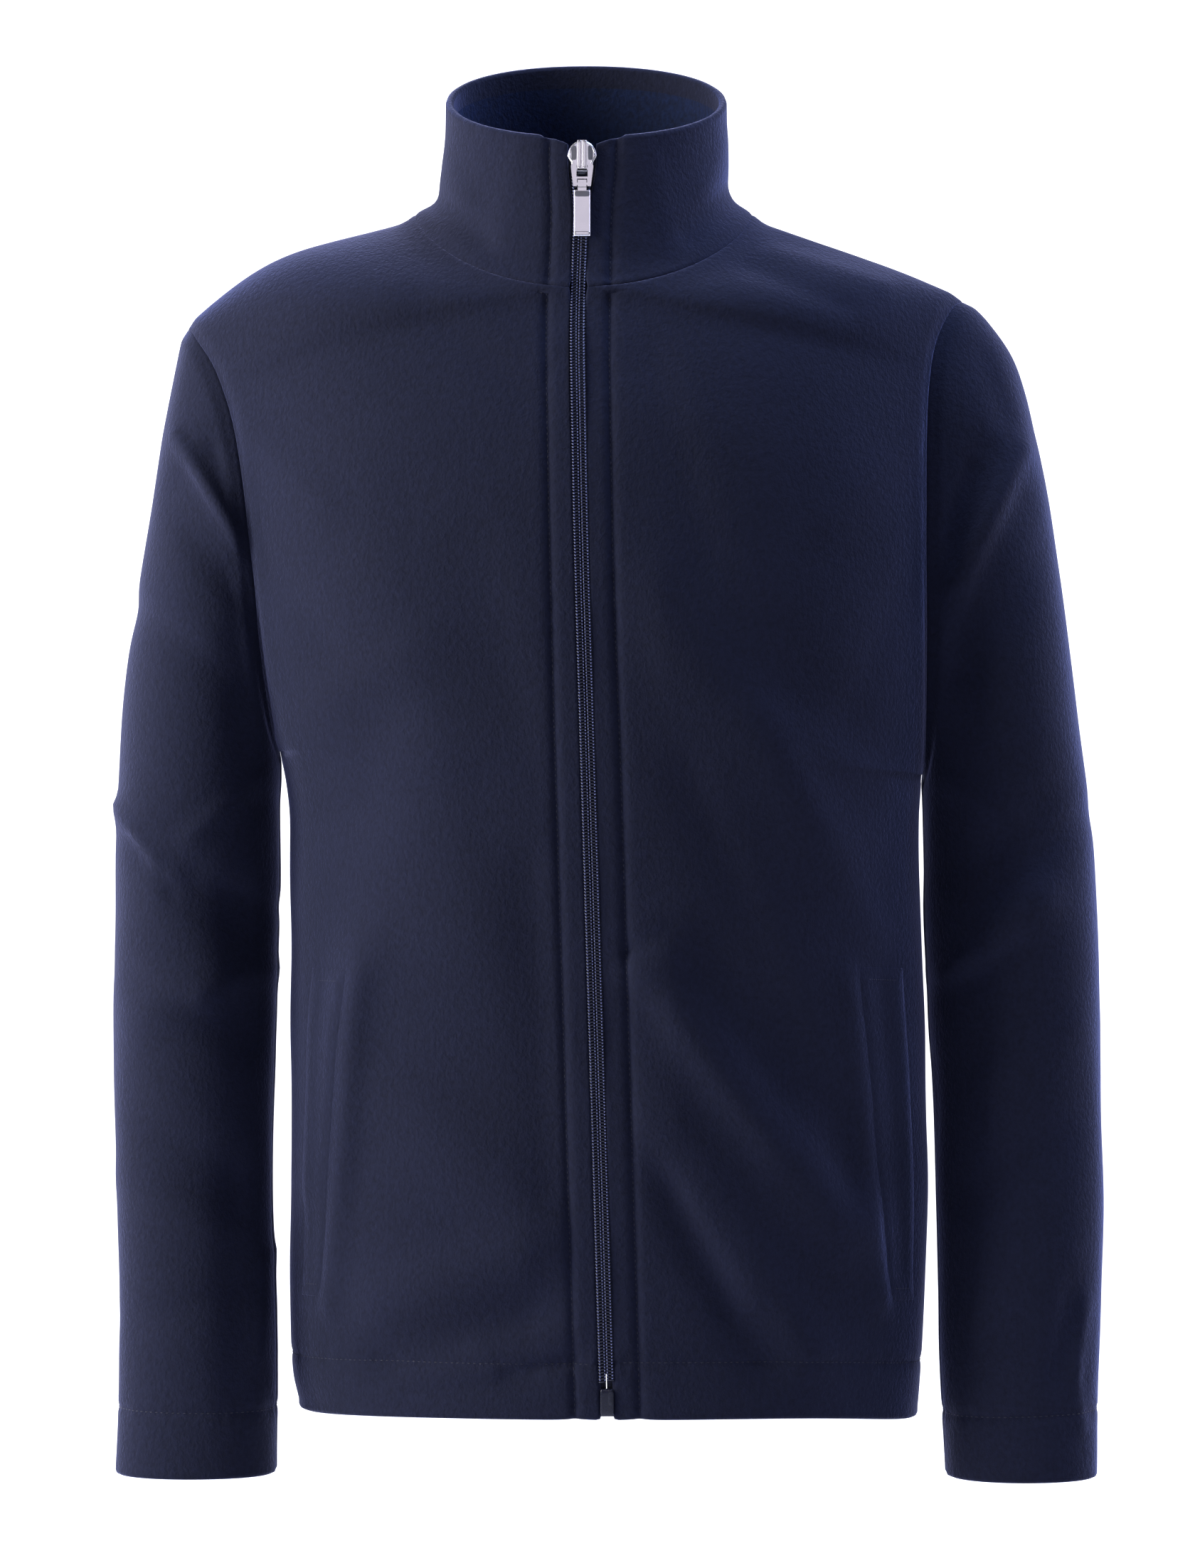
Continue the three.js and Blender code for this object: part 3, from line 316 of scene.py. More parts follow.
def row_points(rows, u, side, face):
    """Points along rows: x and z go by sin(turn u) to the power boxy, y by 1 - cos(turn u) to that
    power, and then come the crown, the shoulder's lift and the folds."""
    end, boxy = rows["turn"], rows["boxy"]
    across = (np.sin(end * u) / np.sin(end)) ** boxy
    around = (1 - np.cos(end * u) ** boxy) / (1 - np.cos(end) ** boxy)
    inner, outer = rows["inner"][:, None], rows["outer"][:, None]
    x = mix(inner[..., 0], outer[..., 0], across)
    y = mix(inner[..., 1], outer[..., 1], around) + FACING[face] * rows["crown"] * np.sin(math.pi * u)
    z = mix(inner[..., 2], outer[..., 2], across)
    z = z + rows["lift"] * np.sin(math.pi * across ** SHOULDER_SKEW)
    z = z + rows["drop"] * (across - across ** HEM_BEND)
    points = place(x, y, z)
    name = "back" if face == "back" else f"front_{side}"
    clear = (np.abs(x - inner[..., 0]) - STITCH) / 25
    fade = np.minimum(np.clip(clear, 0, 1), (1 - u) * 6)
    out = unit(place(x, y * 1.6, 0))
    return points + out * (fold_height(FOLDS[name], points) * fade)[..., None]


print("folds", {name: len(folds["wide"]) for name, folds in FOLDS.items()})

# %% [markdown]
# ## A grid that is fine where the sewing is
# A seam is a groove a few millimetres wide, so the grid needs close lines beside it and can be wide
# elsewhere. We measure each row by walking along it, and then put the grid's columns at chosen
# distances from both ends.

# %% Lines at chosen distances
SEWN = [0, 0.7, 1.5, 2.4, 3.6, 5.2, 7.5]  # distances from a sewn edge
ZIPPED = [0, 0.8, 1.8, 3.2, 5.2, 7.6, 10, 11.6, 12.4, 13, 13.6, 14.4, 16, 18.6, 22]
HEMMED = [0, 0.8, 1.8, 3.2, 5.5, 9, 13, 17, 21, 25, 27.6, 29, 30, 31, 32.4, 35, 39]


def stations(length, near, far, count):
    """Distances along lines of the given lengths: the near ones from the start, the far ones from the
    end, and `count` even ones between."""
    length = np.atleast_1d(length)[:, None]
    start = np.broadcast_to(near, (len(length), len(near)))
    end = length - np.array(far[::-1])
    even = np.linspace(0, 1, count + 2)[1:-1]
    return np.hstack([start, start[:, -1:] + even * (end[:, :1] - start[:, -1:]), end])


def walked(points):
    """How far it is along each row of points from its start."""
    steps = np.linalg.norm(np.diff(points, axis=1), axis=-1)
    return np.hstack([np.zeros((len(points), 1)), np.cumsum(steps, 1)])


def trunk_grid(side, face):
    """The panel's points: levels dense at hem, seam and shoulder, and columns at chosen distances."""
    body = ARMHOLE[side][1] - HEM
    low = np.concatenate([np.array(HEMMED) / body, np.linspace(41 / body, 1, 62)[1:]])
    angle = np.concatenate([
        np.linspace(180, 60, 40)[1:], np.linspace(60, 6, 24)[1:], [4.5, 3.2, 2.2, 1.2, 0.5, 0]])
    if face == "back":  # closer lines where the neck seam begins
        angle = np.sort(np.append(angle, [35.2, 34.5, 33.7, 33.1, 32.3]))[::-1]
    level = np.concatenate([low, 2 - angle / 180])
    rows = trunk_rows(side, face, level)
    u = np.broadcast_to(np.linspace(0, 1, 121), (len(level), 121))
    gone = walked(row_points(rows, u, side, face))
    near = ZIPPED if face == "front" else SEWN
    wanted = stations(gone[:, -1], near, SEWN, 52 if face == "front" else 56)
    u = np.array([np.interp(want, have, u[0]) for want, have in zip(wanted, gone)])
    return row_points(rows, u, side, face)


FRONT = {side: trunk_grid(side, "front") for side in SIGN}
BACK = {side: trunk_grid(side, "back") for side in SIGN}
print("front grid", FRONT["left"].shape, "back grid", BACK["left"].shape)

# %% [markdown]
# ## The sleeves
# A set-in sleeve starts as the armhole itself and ends as the cuff. Its rings are ovals whose two ends
# follow the sleeve's two outlines, so the silhouette is right from the front by construction. The
# first rings keep some of the armhole's bowed shape and the later ones lose it.

# %% Rings of a sleeve
RINGS = table("along outer inner half middle keep", [
    (0, 0, 0, 56, 3, 1), (1, 34, 1.5, 60, 4, 0.72), (2, 76, 5, 63, 5, 0.42), (3, 126, 12, 65, 6, 0.18),
    (4, 182, 24, 66, 7, 0.04), (5, 246, 50, 65, 8, 0), (6, 322, 92, 62, 7, 0), (7, 412, 168, 57, 2, 0),
    (8, 500, 256, 51, -8, 0), (9, 588, 344, 45, -19, 0), (10, 669, 425, 41, -28, 0),
])
OUTER_WAY, INNER_WAY = RINGS["outer"][-1], RINGS["inner"][-1]  # down the two outlines, shoulder to cuff
FIRST_RING, LAST_RING = 62, 88  # mm of cloth in the first step of the table and in the last
CUFF = {"right": -728.0, "left": -730.0}
CUFF_RING = 10  # the last row of the table
ring = {name: curve(RINGS, "along", name) for name in ("outer", "inner", "half", "middle", "keep")}
outer_x = {side: curve(SLEEVE_OUTER[side], "z", "x") for side in SIGN}
inner_x = {side: curve(SLEEVE_INNER[side], "z", "x") for side in SIGN}


def sleeve_points(side, along, face, angle):
    """Points of a sleeve: between the outer and the inner outline by the cosine of the angle, and
    out from the middle of the depth by its sine to the power 0.8."""
    top, bottom = ARMHOLE[side]
    outer_z = top - ring["outer"](along) * (top - CUFF[side]) / OUTER_WAY
    inner_z = bottom - ring["inner"](along) * (bottom - CUFF[side]) / INNER_WAY
    c = np.cos(np.radians(angle))
    s = np.abs(np.sin(np.radians(angle))) ** ARM_ROUND
    outer, inner = outer_x[side](outer_z), inner_x[side](inner_z)
    x = (outer + inner) / 2 + (outer - inner) / 2 * c
    y = ring["middle"](along) + FACING[face] * ring["half"](along) * s
    z = (outer_z + inner_z) / 2 + (outer_z - inner_z) / 2 * c
    top_point, low_point = armhole(side, face, 0.0), armhole(side, face, 180.0)
    chord = top_point + (low_point - top_point) * ((1 - c) / 2)[..., None]
    bow = armhole(side, face, angle) - chord
    points = place(x + bow[..., 0] * ring["keep"](along), y, z)
    fade = np.clip(along / 1.5, 0, 1) * np.clip((CUFF_RING - along) / 0.6, 0, 1)
    points[..., 1] += FACING[face] * fold_height(FOLDS[f"sleeve_{side}"], points) * fade * s
    return points


def sleeve_grid(side):
    """Rings from armhole to cuff, each once around from the underarm over the front and the back. The
    ring's last point is the first one again, so it is left out."""
    edge = np.array(SEWN) / FIRST_RING
    cuff = CUFF_RING - (np.array(HEMMED) * CUFF_DEPTH / HEM_DEPTH)[::-1] / LAST_RING
    along = np.concatenate([edge, np.linspace(edge[-1], cuff[0], 150)[1:-1], cuff])
    angle = np.linspace(180, 0, 85)
    front = sleeve_points(side, along[:, None], "front", angle[None, :])
    back = sleeve_points(side, along[:, None], "back", angle[None, ::-1][:, 1:-1])
    return np.concatenate([front, back], 1)


SLEEVE = {side: sleeve_grid(side) for side in SIGN}
print("sleeve grid", SLEEVE["left"].shape)

# %% [markdown]
# ## The collar
# The collar is one strip from zip edge to zip edge, of two layers with a soft turned top. It rises from
# the neck seam, leans in as it rises and stands higher behind than in front.

# %% Collar surface
NECK_ROUND = 97  # mm round the neck seam for one radian of its angle
COLLAR_HIGH = 85  # mm up the collar from seam to rim
RIM = {"half": 82.5, "middle": 0.8, "front": -73.0, "side": -3.0, "back": 66.0, "height": 67.0, "tilt": 0.42}


def collar_points(side, angle, rise):
    """Points of the collar between the neck seam and the rim: height in a straight line, width and
    depth by 1 - (1 - rise) to a power that is larger at the sides, where the collar flares more."""
    turn = np.radians(angle)
    s, c = np.sin(turn), np.abs(np.cos(turn))
    front = np.asarray(angle) < 90
    start = np.where(front, zip_x(RIM["height"]) + SIGN[side] * ZIP_EDGE, RIM["middle"])
    rim_x = start + (RIM["middle"] + SIGN[side] * RIM["half"] - start) * np.abs(s) ** 0.94
    rim_y = RIM["side"] + (np.where(front, RIM["front"], RIM["back"]) - RIM["side"]) * c
    rim_z = RIM["height"] + RIM["tilt"] * (rim_y - RIM["side"])
    flare = np.where(front, 1.35 + 3.4 * s * s, 2.4 + 2.35 * s * s)
    inward = 1 - (1 - rise) ** flare
    base = neck(side, angle)
    x, y = mix(base[..., 0], rim_x, inward), mix(base[..., 1], rim_y, inward)
    z = mix(base[..., 2], rim_z, rise)
    beside = np.where(front, np.clip(1 - s / 0.32, 0, 1), 0)
    x = x + SIGN[side] * (zip_gap(z) - ZIP_EDGE) * beside
    return place(x, y, z - 3.5 * beside ** 3 * rise ** 4)


def collar_grid():
    """Columns from the right zip edge around the back to the left one, rows from seam to rim."""
    front = np.degrees(np.array([0, 1, 2.2, 4, 6.5, 9, 11, 12.2, 13, 13.8, 15, 17.5, 21, 26]) / NECK_ROUND)
    half = np.concatenate([front, np.linspace(front[-1], 180, 72)[1:]])
    rise = np.concatenate([
        np.array(SEWN) / COLLAR_HIGH, np.linspace(0.115, 0.93, 26), [0.95, 0.97, 0.985, 0.995, 1]])
    right = collar_points("right", half[None, :], rise[:, None])
    left = collar_points("left", half[None, ::-1][:, 1:], rise[:, None])
    return np.concatenate([right, left], 1)


COLLAR = collar_grid()
print("collar grid", COLLAR.shape)

# %% [markdown]
# ## From a surface to cloth
# Cloth has two faces and a soft edge. Blender's Solidify modifier could give it a thickness, but its
# edges are square. Fleece folds over with a round edge, so the wall is made here: an outer face, an
# inner face set back along the normals, and between them a half circle around every border.

# %% Grids, normals and walls
def quads_of(rows, columns, wrap=False):
    """The quads between neighbouring points of a grid, as indices, around a ring if it wraps."""
    i, j = np.meshgrid(np.arange(rows - 1), np.arange(columns if wrap else columns - 1), indexing="ij")
    k = (j + 1) % columns
    four = [i * columns + j, i * columns + k, (i + 1) * columns + k, (i + 1) * columns + j]
    return np.stack(four, -1).reshape(-1, 4)


def quad_normals(points, quads):
    """The cross product of each quad's two diagonals, which is longer for a larger quad."""
    a, b, c, d = (points[quads[:, i]] for i in range(4))
    return np.cross(c - a, d - b)


def normals_of(points, quads):
    """Vertex normals: the sum over the quads around a vertex."""
    face = quad_normals(points, quads)
    total = np.zeros_like(points)
    for i in range(4):
        np.add.at(total, quads[:, i], face)
    return unit(total)


def facing_out(points, quads, middle):
    """The quads, turned over if most of them look towards the middle line."""
    centre = points[quads].mean(1)
    outward = (quad_normals(points, quads) * (centre - middle(centre))).sum(-1)
    return quads if outward.sum() > 0 else quads[:, ::-1]


def border_of(quads):
    """The directed edges that only one quad has."""
    edges = np.concatenate([quads[:, [i, (i + 1) % 4]] for i in range(4)])
    size = edges.max() + 1
    key, back = edges[:, 0] * size + edges[:, 1], edges[:, 1] * size + edges[:, 0]
    return edges[~np.isin(key, back)]


def cloth_wall(points, quads, thick, normals=None, bulge=1.0, steps=4):
    """A closed wall: the points, the points set back by the thickness, and on the border an arc,
    middle + (outer - middle) cos t + out (bulge thick / 2) sin t, a half circle where bulge is 1.
    Returns points, quads and a flag for the quads of the inner face."""
    normals = normals_of(points, quads) if normals is None else normals
    thick = np.broadcast_to(thick, len(points))[:, None]
    bulge = np.broadcast_to(bulge, len(points))[:, None]
    count = len(points)
    edges = border_of(quads)
    rim = np.unique(edges)
    spot = np.full(count, -1)
    spot[rim] = np.arange(len(rim))
    along = unit(points[edges[:, 1]] - points[edges[:, 0]])
    out = np.zeros((len(rim), 3))
    for end in (0, 1):
        np.add.at(out, spot[edges[:, end]], np.cross(along, normals[edges[:, end]]))
    out = unit(out)
    inner = points - normals * thick
    middle, radius = (points[rim] + inner[rim]) / 2, thick[rim] / 2
    turns = np.pi * np.arange(1, steps) / steps
    swing = out * radius * bulge[rim]
    arcs = [middle + normals[rim] * radius * math.cos(t) + swing * math.sin(t) for t in turns]
    rings = [rim] + [2 * count + n * len(rim) + np.arange(len(rim)) for n in range(steps - 1)] + [rim + count]
    start, end = spot[edges[:, 0]], spot[edges[:, 1]]
    sides = [np.stack([b[start], b[end], a[end], a[start]], -1) for a, b in zip(rings, rings[1:])]
    every = np.concatenate([quads, quads[:, ::-1] + count] + sides)
    inside = np.zeros(len(every), bool)
    inside[len(quads):2 * len(quads)] = True
    return np.concatenate([points, inner] + arcs), every, inside


def make_mesh(name, points, faces, materials, slots=None):
    """A mesh object at the origin from points in millimetres and faces of one size, with its
    materials and, if given, the material slot of each face."""
    mesh = bpy.data.meshes.new(name)
    faces = np.asarray(faces)
    count, sides = faces.shape
    mesh.vertices.add(len(points))
    mesh.vertices.foreach_set("co", (np.asarray(points) * MM).astype(np.float32).ravel())
    mesh.loops.add(count * sides)
    mesh.loops.foreach_set("vertex_index", faces.astype(np.int32).ravel())
    mesh.polygons.add(count)
    mesh.polygons.foreach_set("loop_start", np.arange(0, count * sides, sides, dtype=np.int32))
    mesh.polygons.foreach_set("loop_total", np.full(count, sides, np.int32))
    mesh.polygons.foreach_set("use_smooth", np.ones(count, bool))
    for material in materials:
        mesh.materials.append(material)
    if slots is not None:
        mesh.polygons.foreach_set("material_index", np.asarray(slots, np.int32))
    mesh.update(calc_edges=True)
    mesh.validate()
    made = bpy.data.objects.new(name, mesh)
    bpy.context.scene.collection.objects.link(made)
    print(name, len(points), "points", count, "faces")
    return made


print("cloth tools ready")

# %% [markdown]
# ## Sewing shows in the cloth
# A seam pulls the cloth into a narrow valley, and a row of topstitching presses a fine groove and
# draws small puckers beside it. Both depend only on how far a point is from the line of sewing, so one
# function measures that distance and how far along the line it is.

# %% Distance to a line of sewing
def resampled(line, step):
    """Points along a line, evenly about `step` apart."""
    gone = walked(line[None])[0]
    at = np.linspace(0, gone[-1], max(2, int(gone[-1] / step) + 1))
    return between(at, gone, line)


LINE_STEP = 3.0
BATCH = 2_000_000  # distances worked out at once, so that they fit in memory
FAR = 1e3  # mm, farther than any line of sewing is


def near_line(points, line):
    """For each point, its distance to the line and how many steps along the line that is: the nearest
    of the line's points first, then the nearest place on the two segments that meet there."""
    line = resampled(line, LINE_STEP)
    flat = points.reshape(-1, 3)
    parts = np.array_split(flat, max(1, len(flat) * len(line) // BATCH))
    nearest = np.concatenate([((part[:, None] - line) ** 2).sum(-1).argmin(1) for part in parts])
    best = np.full(len(flat), np.inf)
    along = np.zeros(len(flat))
    for shift in (0, 1):
        i = np.clip(nearest - shift, 0, len(line) - 2)
        step = line[i + 1] - line[i]
        length = np.linalg.norm(step, axis=-1)
        t = np.clip(((flat - line[i]) * step).sum(-1) / length ** 2, 0, 1)
        distance = np.linalg.norm(flat - line[i] - step * t[:, None], axis=-1)
        closer = distance < best
        best = np.where(closer, distance, best)
        along = np.where(closer, i + t, along)
    return best.reshape(points.shape[:-1]), along.reshape(points.shape[:-1])


def seam_dip(distance, depth=1.9, reach=8.5):
    """A soft valley at a seam, -depth (1 - ease(distance / reach)), with the fine line of the seam in
    it, 0.7 mm deep."""
    return -depth * (1 - ease(distance / reach)) - 0.7 * np.clip(1 - distance / 1.8, 0, 1) ** 2


def neck_fill(distance):
    """Rounds the corner where the collar stands on the trunk: 2.4 mm of filling that fades out over
    17 mm, and in it the fine line of the seam, 0.8 mm deep."""
    return 2.4 * np.clip(1 - distance / 17, 0, 1) ** 2 - 0.8 * np.clip(1 - distance / 3, 0, 1) ** 2


def stitch_dip(distance, along, depth, pucker=0.35):
    """A groove under stitches, -depth exp(-(d / 2.4)^2), and puckers beside it: an uneven wave along
    the line that fades within about 8 mm."""
    mm = along * LINE_STEP
    wave = np.sin(mm / 1.9 + 1.6 * np.sin(mm / 7.3)) * (0.6 + 0.4 * np.sin(mm / 23 + 1))
    return -depth * np.exp(-(distance / 2.4) ** 2) + pucker * wave * np.exp(-(distance / 6.5) ** 2)


def swell(points, size, seed):
    """Slow unevenness of hanging cloth, about 1 at most: three sine waves that cross each other."""
    x, y, z = (points[..., i] / size for i in range(3))
    waves = np.sin(x + 0.7 * z + seed), np.sin(0.6 * x - 1.1 * z + 2 * seed), np.sin(y + 0.8 * z + 3 * seed)
    return (waves[0] + waves[1] + waves[2]) / 3


def common_normal(line, panels):
    """Along a seam, the direction half way between the normals of the panels that meet there, each
    taken at the panel's nearest point."""
    line = resampled(line, LINE_STEP)
    total = np.zeros_like(line)
    for points, normals in panels:
        flat, facing = points.reshape(-1, 3), normals.reshape(-1, 3)
        total += facing[((line[:, None] - flat) ** 2).sum(-1).argmin(1)]
    return unit(total)


def seam_hold(points, seams, reach=5.0):
    """How seams hold the points near them: the sum of the seams' common normals, each weighted from 1
    on its seam to 0 at `reach`, a freedom from 0 on a seam to 1 beyond, and the distance to the
    nearest seam."""
    nearest = np.full(points.shape[:-1], FAR)
    pull = np.zeros_like(points)
    for line, up in seams:
        distance, at = near_line(points, line)
        common = between(at, np.arange(len(up)), up)
        pull += common * (1 - ease(distance / reach))[..., None]
        nearest = np.minimum(nearest, distance)
    return pull, ease(nearest / reach)[..., None], nearest


LEVELS = np.linspace(0, 1, 60)
ANGLES = np.linspace(0, 180, 90)
SEAMS = {}
for side in SIGN:
    for face in FACING:
        SEAMS["armhole", side, face] = armhole(side, face, ANGLES)
    SEAMS["side", side] = trunk_rows(side, "front", LEVELS)["outer"]
    SEAMS["neck", side, "front"] = neck(side, ANGLES[:45])
    SEAMS["neck", side, "back"] = neck(side, ANGLES[44:])
    shoulder = trunk_rows(side, "front", np.array([2.0]))
    SEAMS["shoulder", side] = row_points(shoulder, np.linspace(0, 1, 50)[None], side, "front")[0]
print("seams", len(SEAMS))

# %% [markdown]
# ## Small creases
# The large folds are in the tables above. These are the finer ones that catch the light: pulls from the
# armhole, breaks at the elbow, drag lines beside the zip and above the hem.

# %% Crease tables
CREASES = {
    "front_right": table(FOLD_COLUMNS, [
        (-205, -120, -150, -170, 16, 1.6), (-198, -180, -150, -250, 15, -1.6),
        (-168, -300, -90, -250, 18, 1.4), (-150, -350, -60, -330, 16, -1.2),
        (-44, -664, -6, -656, 5, -2.4), (-60, -650, -8, -640, 7, 1.6),
        (-100, -676, -30, -668, 6, -1.2),
        (-90, -60, -30, -110, 14, -1.2), (-140, -480, -40, -560, 26, 1.8),
        (-60, -200, -30, -330, 20, -1.4), (-150, -446, -157, -612, 8, -1.8),
        (-30, -380, -18, -560, 14, -1.8), (-120, -180, -60, -420, 30, 1.6),
    ]),
    "front_left": table(FOLD_COLUMNS, [
        (24, -424, 46, -412, 4, -1.8), (26, -436, 60, -428, 8, 1.4),
        (34, -440, 110, -540, 9, 1.8), (60, -436, 120, -520, 9, -1.6),
        (36, -520, 96, -620, 9, 1.6), (50, -560, 84, -630, 8, -1.6),
        (100, -290, 162, -410, 16, 1.8), (60, -330, 120, -470, 16, -1.8),
        (195, -130, 140, -180, 14, 1.4), (192, -200, 150, -290, 14, -1.4),
        (110, -24, 172, -44, 8, 1.5), (96, -34, 150, -56, 8, -1.8),
        (120, -520, 166, -620, 14, 1.6), (170, -446, 183, -612, 8, -1.8),
        (40, -90, 70, -200, 16, -1.2), (170, -330, 120, -300, 14, 1.2),
    ]),
    "sleeve_right": table(FOLD_COLUMNS, [
        (-236, -130, -199, -188, 6, 2.2), (-214, -140, -196, -172, 8, -2.2),
        (-232, -152, -196, -206, 7, -1.6), (-262, -230, -214, -262, 14, -1.8),
        (-272, -344, -248, -376, 6, 2.6), (-264, -362, -238, -392, 6, -2.2),
        (-206, -392, -184, -402, 8, -1.6), (-196, -400, -194, -478, 13, -3.4),
        (-220, -452, -186, -440, 8, 1.8), (-262, -440, -214, -470, 10, -1.6),
        (-260, -560, -200, -590, 12, 1.6), (-256, -640, -194, -620, 12, -1.5),
        (-185, -604, -187, -660, 5, 1.8), (-200, -560, -198, -680, 12, -2.2),
        (-190, -330, -226, -360, 9, 1.8), (-200, -250, -190, -340, 12, -2.4),
    ]),
    "sleeve_left": table(FOLD_COLUMNS, [
        (254, -138, 212, -216, 7, 2.2), (222, -150, 204, -196, 7, -2.2),
        (252, -170, 214, -246, 10, -1.6), (232, -84, 244, -118, 9, -1.0),
        (206, -441, 222, -428, 4, 2.2), (212, -452, 250, -424, 7, -1.8),
        (286, -350, 240, -392, 11, -1.8), (284, -470, 236, -500, 12, 1.6),
        (288, -630, 282, -668, 5, 1.8), (278, -626, 270, -668, 8, -1.6),
        (282, -668, 286, -700, 5, 1.2), (276, -600, 220, -640, 14, 1.5),
        (210, -330, 246, -350, 10, 1.6), (216, -270, 208, -380, 14, -2.4),
        (214, -500, 216, -640, 14, -2.0),
    ]),
    "back": table(FOLD_COLUMNS, [
        (-190, -150, -120, -200, 16, 1.6), (190, -150, 130, -210, 16, -1.6),
        (-150, -330, -60, -300, 16, 1.4), (150, -360, 70, -320, 16, 1.4),
        (-100, -640, -20, -600, 14, 1.8), (60, -620, 130, -660, 14, -1.6),
        (-60, -60, 40, -74, 12, -1.2), (-40, -100, 60, -116, 14, 1.2),
        (-140, -480, -90, -620, 18, -1.6), (150, -440, 110, -600, 18, 1.6),
    ]),
}
POCKET_ROLL = {  # the front's folded edge along its pocket opening
    "right": table(FOLD_COLUMNS, [(-129, -442, -146, -630, 7.5, 3.0)]),
    "left": table(FOLD_COLUMNS, [(150, -440, 169, -626, 7.5, 3.0)]),
}
print("creases", sum(len(creases["wide"]) for creases in CREASES.values()))

# %% [markdown]
# ## Materials
# Microfleece is knitted polyester whose loops are brushed up and sheared. It has no gloss of its own,
# but the fine fibre ends catch light from the side, so edges glow pale violet while the front stays a
# deep navy. The Principled shader's sheen does exactly that. The nap itself is a bump with grains about
# 1 mm wide, drawn a little downwards, because fleece is brushed that way.

# %% Colours and one helper for nodes
def linear(hex_colour):
    """Linear RGBA from an sRGB hex colour."""
    channels = [int(hex_colour[i:i + 2], 16) / 255 for i in (1, 3, 5)]
    return [c / 12.92 if c <= 0.04045 else ((c + 0.055) / 1.055) ** 2.4 for c in channels] + [1.0]


def add(tree, kind, inputs=None, **settings):
    """Adds a node, sets its properties, and sets or links its inputs."""
    node = tree.nodes.new(kind)
    for name, value in settings.items():
        setattr(node, name, value)
    for name, value in (inputs or {}).items():
        if isinstance(value, bpy.types.NodeSocket):
            tree.links.new(value, node.inputs[name])
        else:
            node.inputs[name].default_value = value
    return node


def new_material(name, **shader):
    """A material with a Principled shader, the given values on its sockets, and Object coordinates."""
    material = bpy.data.materials.new(name)
    material.use_nodes = True
    tree = material.node_tree
    tree.nodes.clear()
    bsdf = add(tree, "ShaderNodeBsdfPrincipled", shader)
    add(tree, "ShaderNodeOutputMaterial", {"Surface": bsdf.outputs[0]})
    where = add(tree, "ShaderNodeTexCoord").outputs["Object"]
    return material, tree, bsdf, where


def per_mm(size):
    """The scale of a pattern whose features are `size` mm wide, on coordinates in metres."""
    return 1 / (size * MM)


def coated(made, factor, dark, light, height, strength, depth):
    """The material with a colour between two shades by a factor, and a bump `depth` mm high at most."""
    material, tree, bsdf, _ = made
    blend = add(tree, "ShaderNodeMix", {"Factor": factor, "A": linear(dark), "B": linear(light)},
                data_type="RGBA")
    bump = add(tree, "ShaderNodeBump", {"Height": height, "Strength": strength, "Distance": depth * MM})
    tree.links.new(blend.outputs[2], bsdf.inputs["Base Color"])
    tree.links.new(bump.outputs[0], bsdf.inputs["Normal"])
    return material


print("linear navy", [round(c, 4) for c in linear("#23263e")])

# %% Fleece
def fleece(name, dark, light, sheen, tint):
    """Brushed polyester fleece: nap 1 mm and clumps 2.4 mm wide, a little longer along the brushing,
    and a slow change of shade over 70 mm where the pile lies differently."""
    made = new_material(name, **{
        "Roughness": 0.93, "Specular IOR Level": 0.25, "Sheen Weight": sheen,
        "Sheen Roughness": 0.32, "Sheen Tint": linear(tint),
    })
    tree, where = made[1], made[3]
    brushed = add(tree, "ShaderNodeMapping", {"Vector": where, "Scale": (1, 1, 0.8)}).outputs[0]
    nap, clump, shade = [
        add(tree, "ShaderNodeTexNoise", {
            "Vector": vector, "Scale": per_mm(size), "Detail": detail, "Roughness": rough}).outputs[0]
        for vector, size, detail, rough in (
            (brushed, 1.0, 3.0, 0.7), (brushed, 2.4, 2.0, 0.6), (where, 70, 2.0, 0.5))]
    pile = add(tree, "ShaderNodeMath", {0: nap, 1: clump, 2: clump}, operation="MULTIPLY_ADD")
    mixed = add(tree, "ShaderNodeMath", {0: shade, 1: 0.5, 2: pile.outputs[0]}, operation="MULTIPLY_ADD")
    colour = add(tree, "ShaderNodeMapRange", {"Value": mixed.outputs[0], "From Min": 0.6, "From Max": 1.6})
    return coated(made, colour.outputs[0], dark, light, pile.outputs[0], 0.75, 0.5)


print("fleece recipe ready")

# %% [markdown]
# The outside is navy. Inside the collar the cloth looks bluer and darker, so the faces that look inwards
# get a second copy of the same fleece, darker and bluer with less sheen: painted shade of the hollow.
# Zip tape is tightly woven polyester, the coil is moulded nylon with a soft gloss, sewing thread is
# twisted polyester, and the slider is zinc with bright nickel plating.

# %% The finishes
OUTSIDE = fleece("brushed_navy_fleece", "#0f1224", "#1a1e35", 0.62, "#a3a9e0")
# The collar's inside: the same fleece painted darker and bluer, with less sheen, as shade of the hollow.
SHADED_INSIDE = fleece("brushed_fleece_painted_inner_shade", "#0a1228", "#14244a", 0.35, "#5f7fc0")


def woven_tape():
    """Woven tape: ribs 1.1 mm apart along the tape and picks 0.9 mm apart across it."""
    made = new_material("woven_polyester_tape", **{
        "Roughness": 0.75, "Specular IOR Level": 0.3, "Sheen Weight": 0.3, "Sheen Roughness": 0.4,
    })
    tree, where = made[1], made[3]
    ribs, picks = [
        add(tree, "ShaderNodeTexWave", {"Vector": where, "Scale": per_mm(size) / math.pi / 2},
            bands_direction=axis).outputs["Fac"]
        for size, axis in ((1.1, "X"), (0.9, "Z"))]
    weave = add(tree, "ShaderNodeMath", {0: ribs, 1: picks}, operation="MULTIPLY").outputs[0]
    return coated(made, weave, "#0d0f1d", "#23263c", weave, 0.6, 0.25)


def speckled(name, dark, light, size, depth, **shader):
    """A finish whose colour wanders between two shades and whose surface has grain `size` mm wide and
    `depth` mm high."""
    made = new_material(name, **shader)
    grain = add(made[1], "ShaderNodeTexNoise", {"Vector": made[3], "Scale": per_mm(size), "Detail": 3.0})
    return coated(made, grain.outputs[0], dark, light, grain.outputs[0], 0.4, depth)


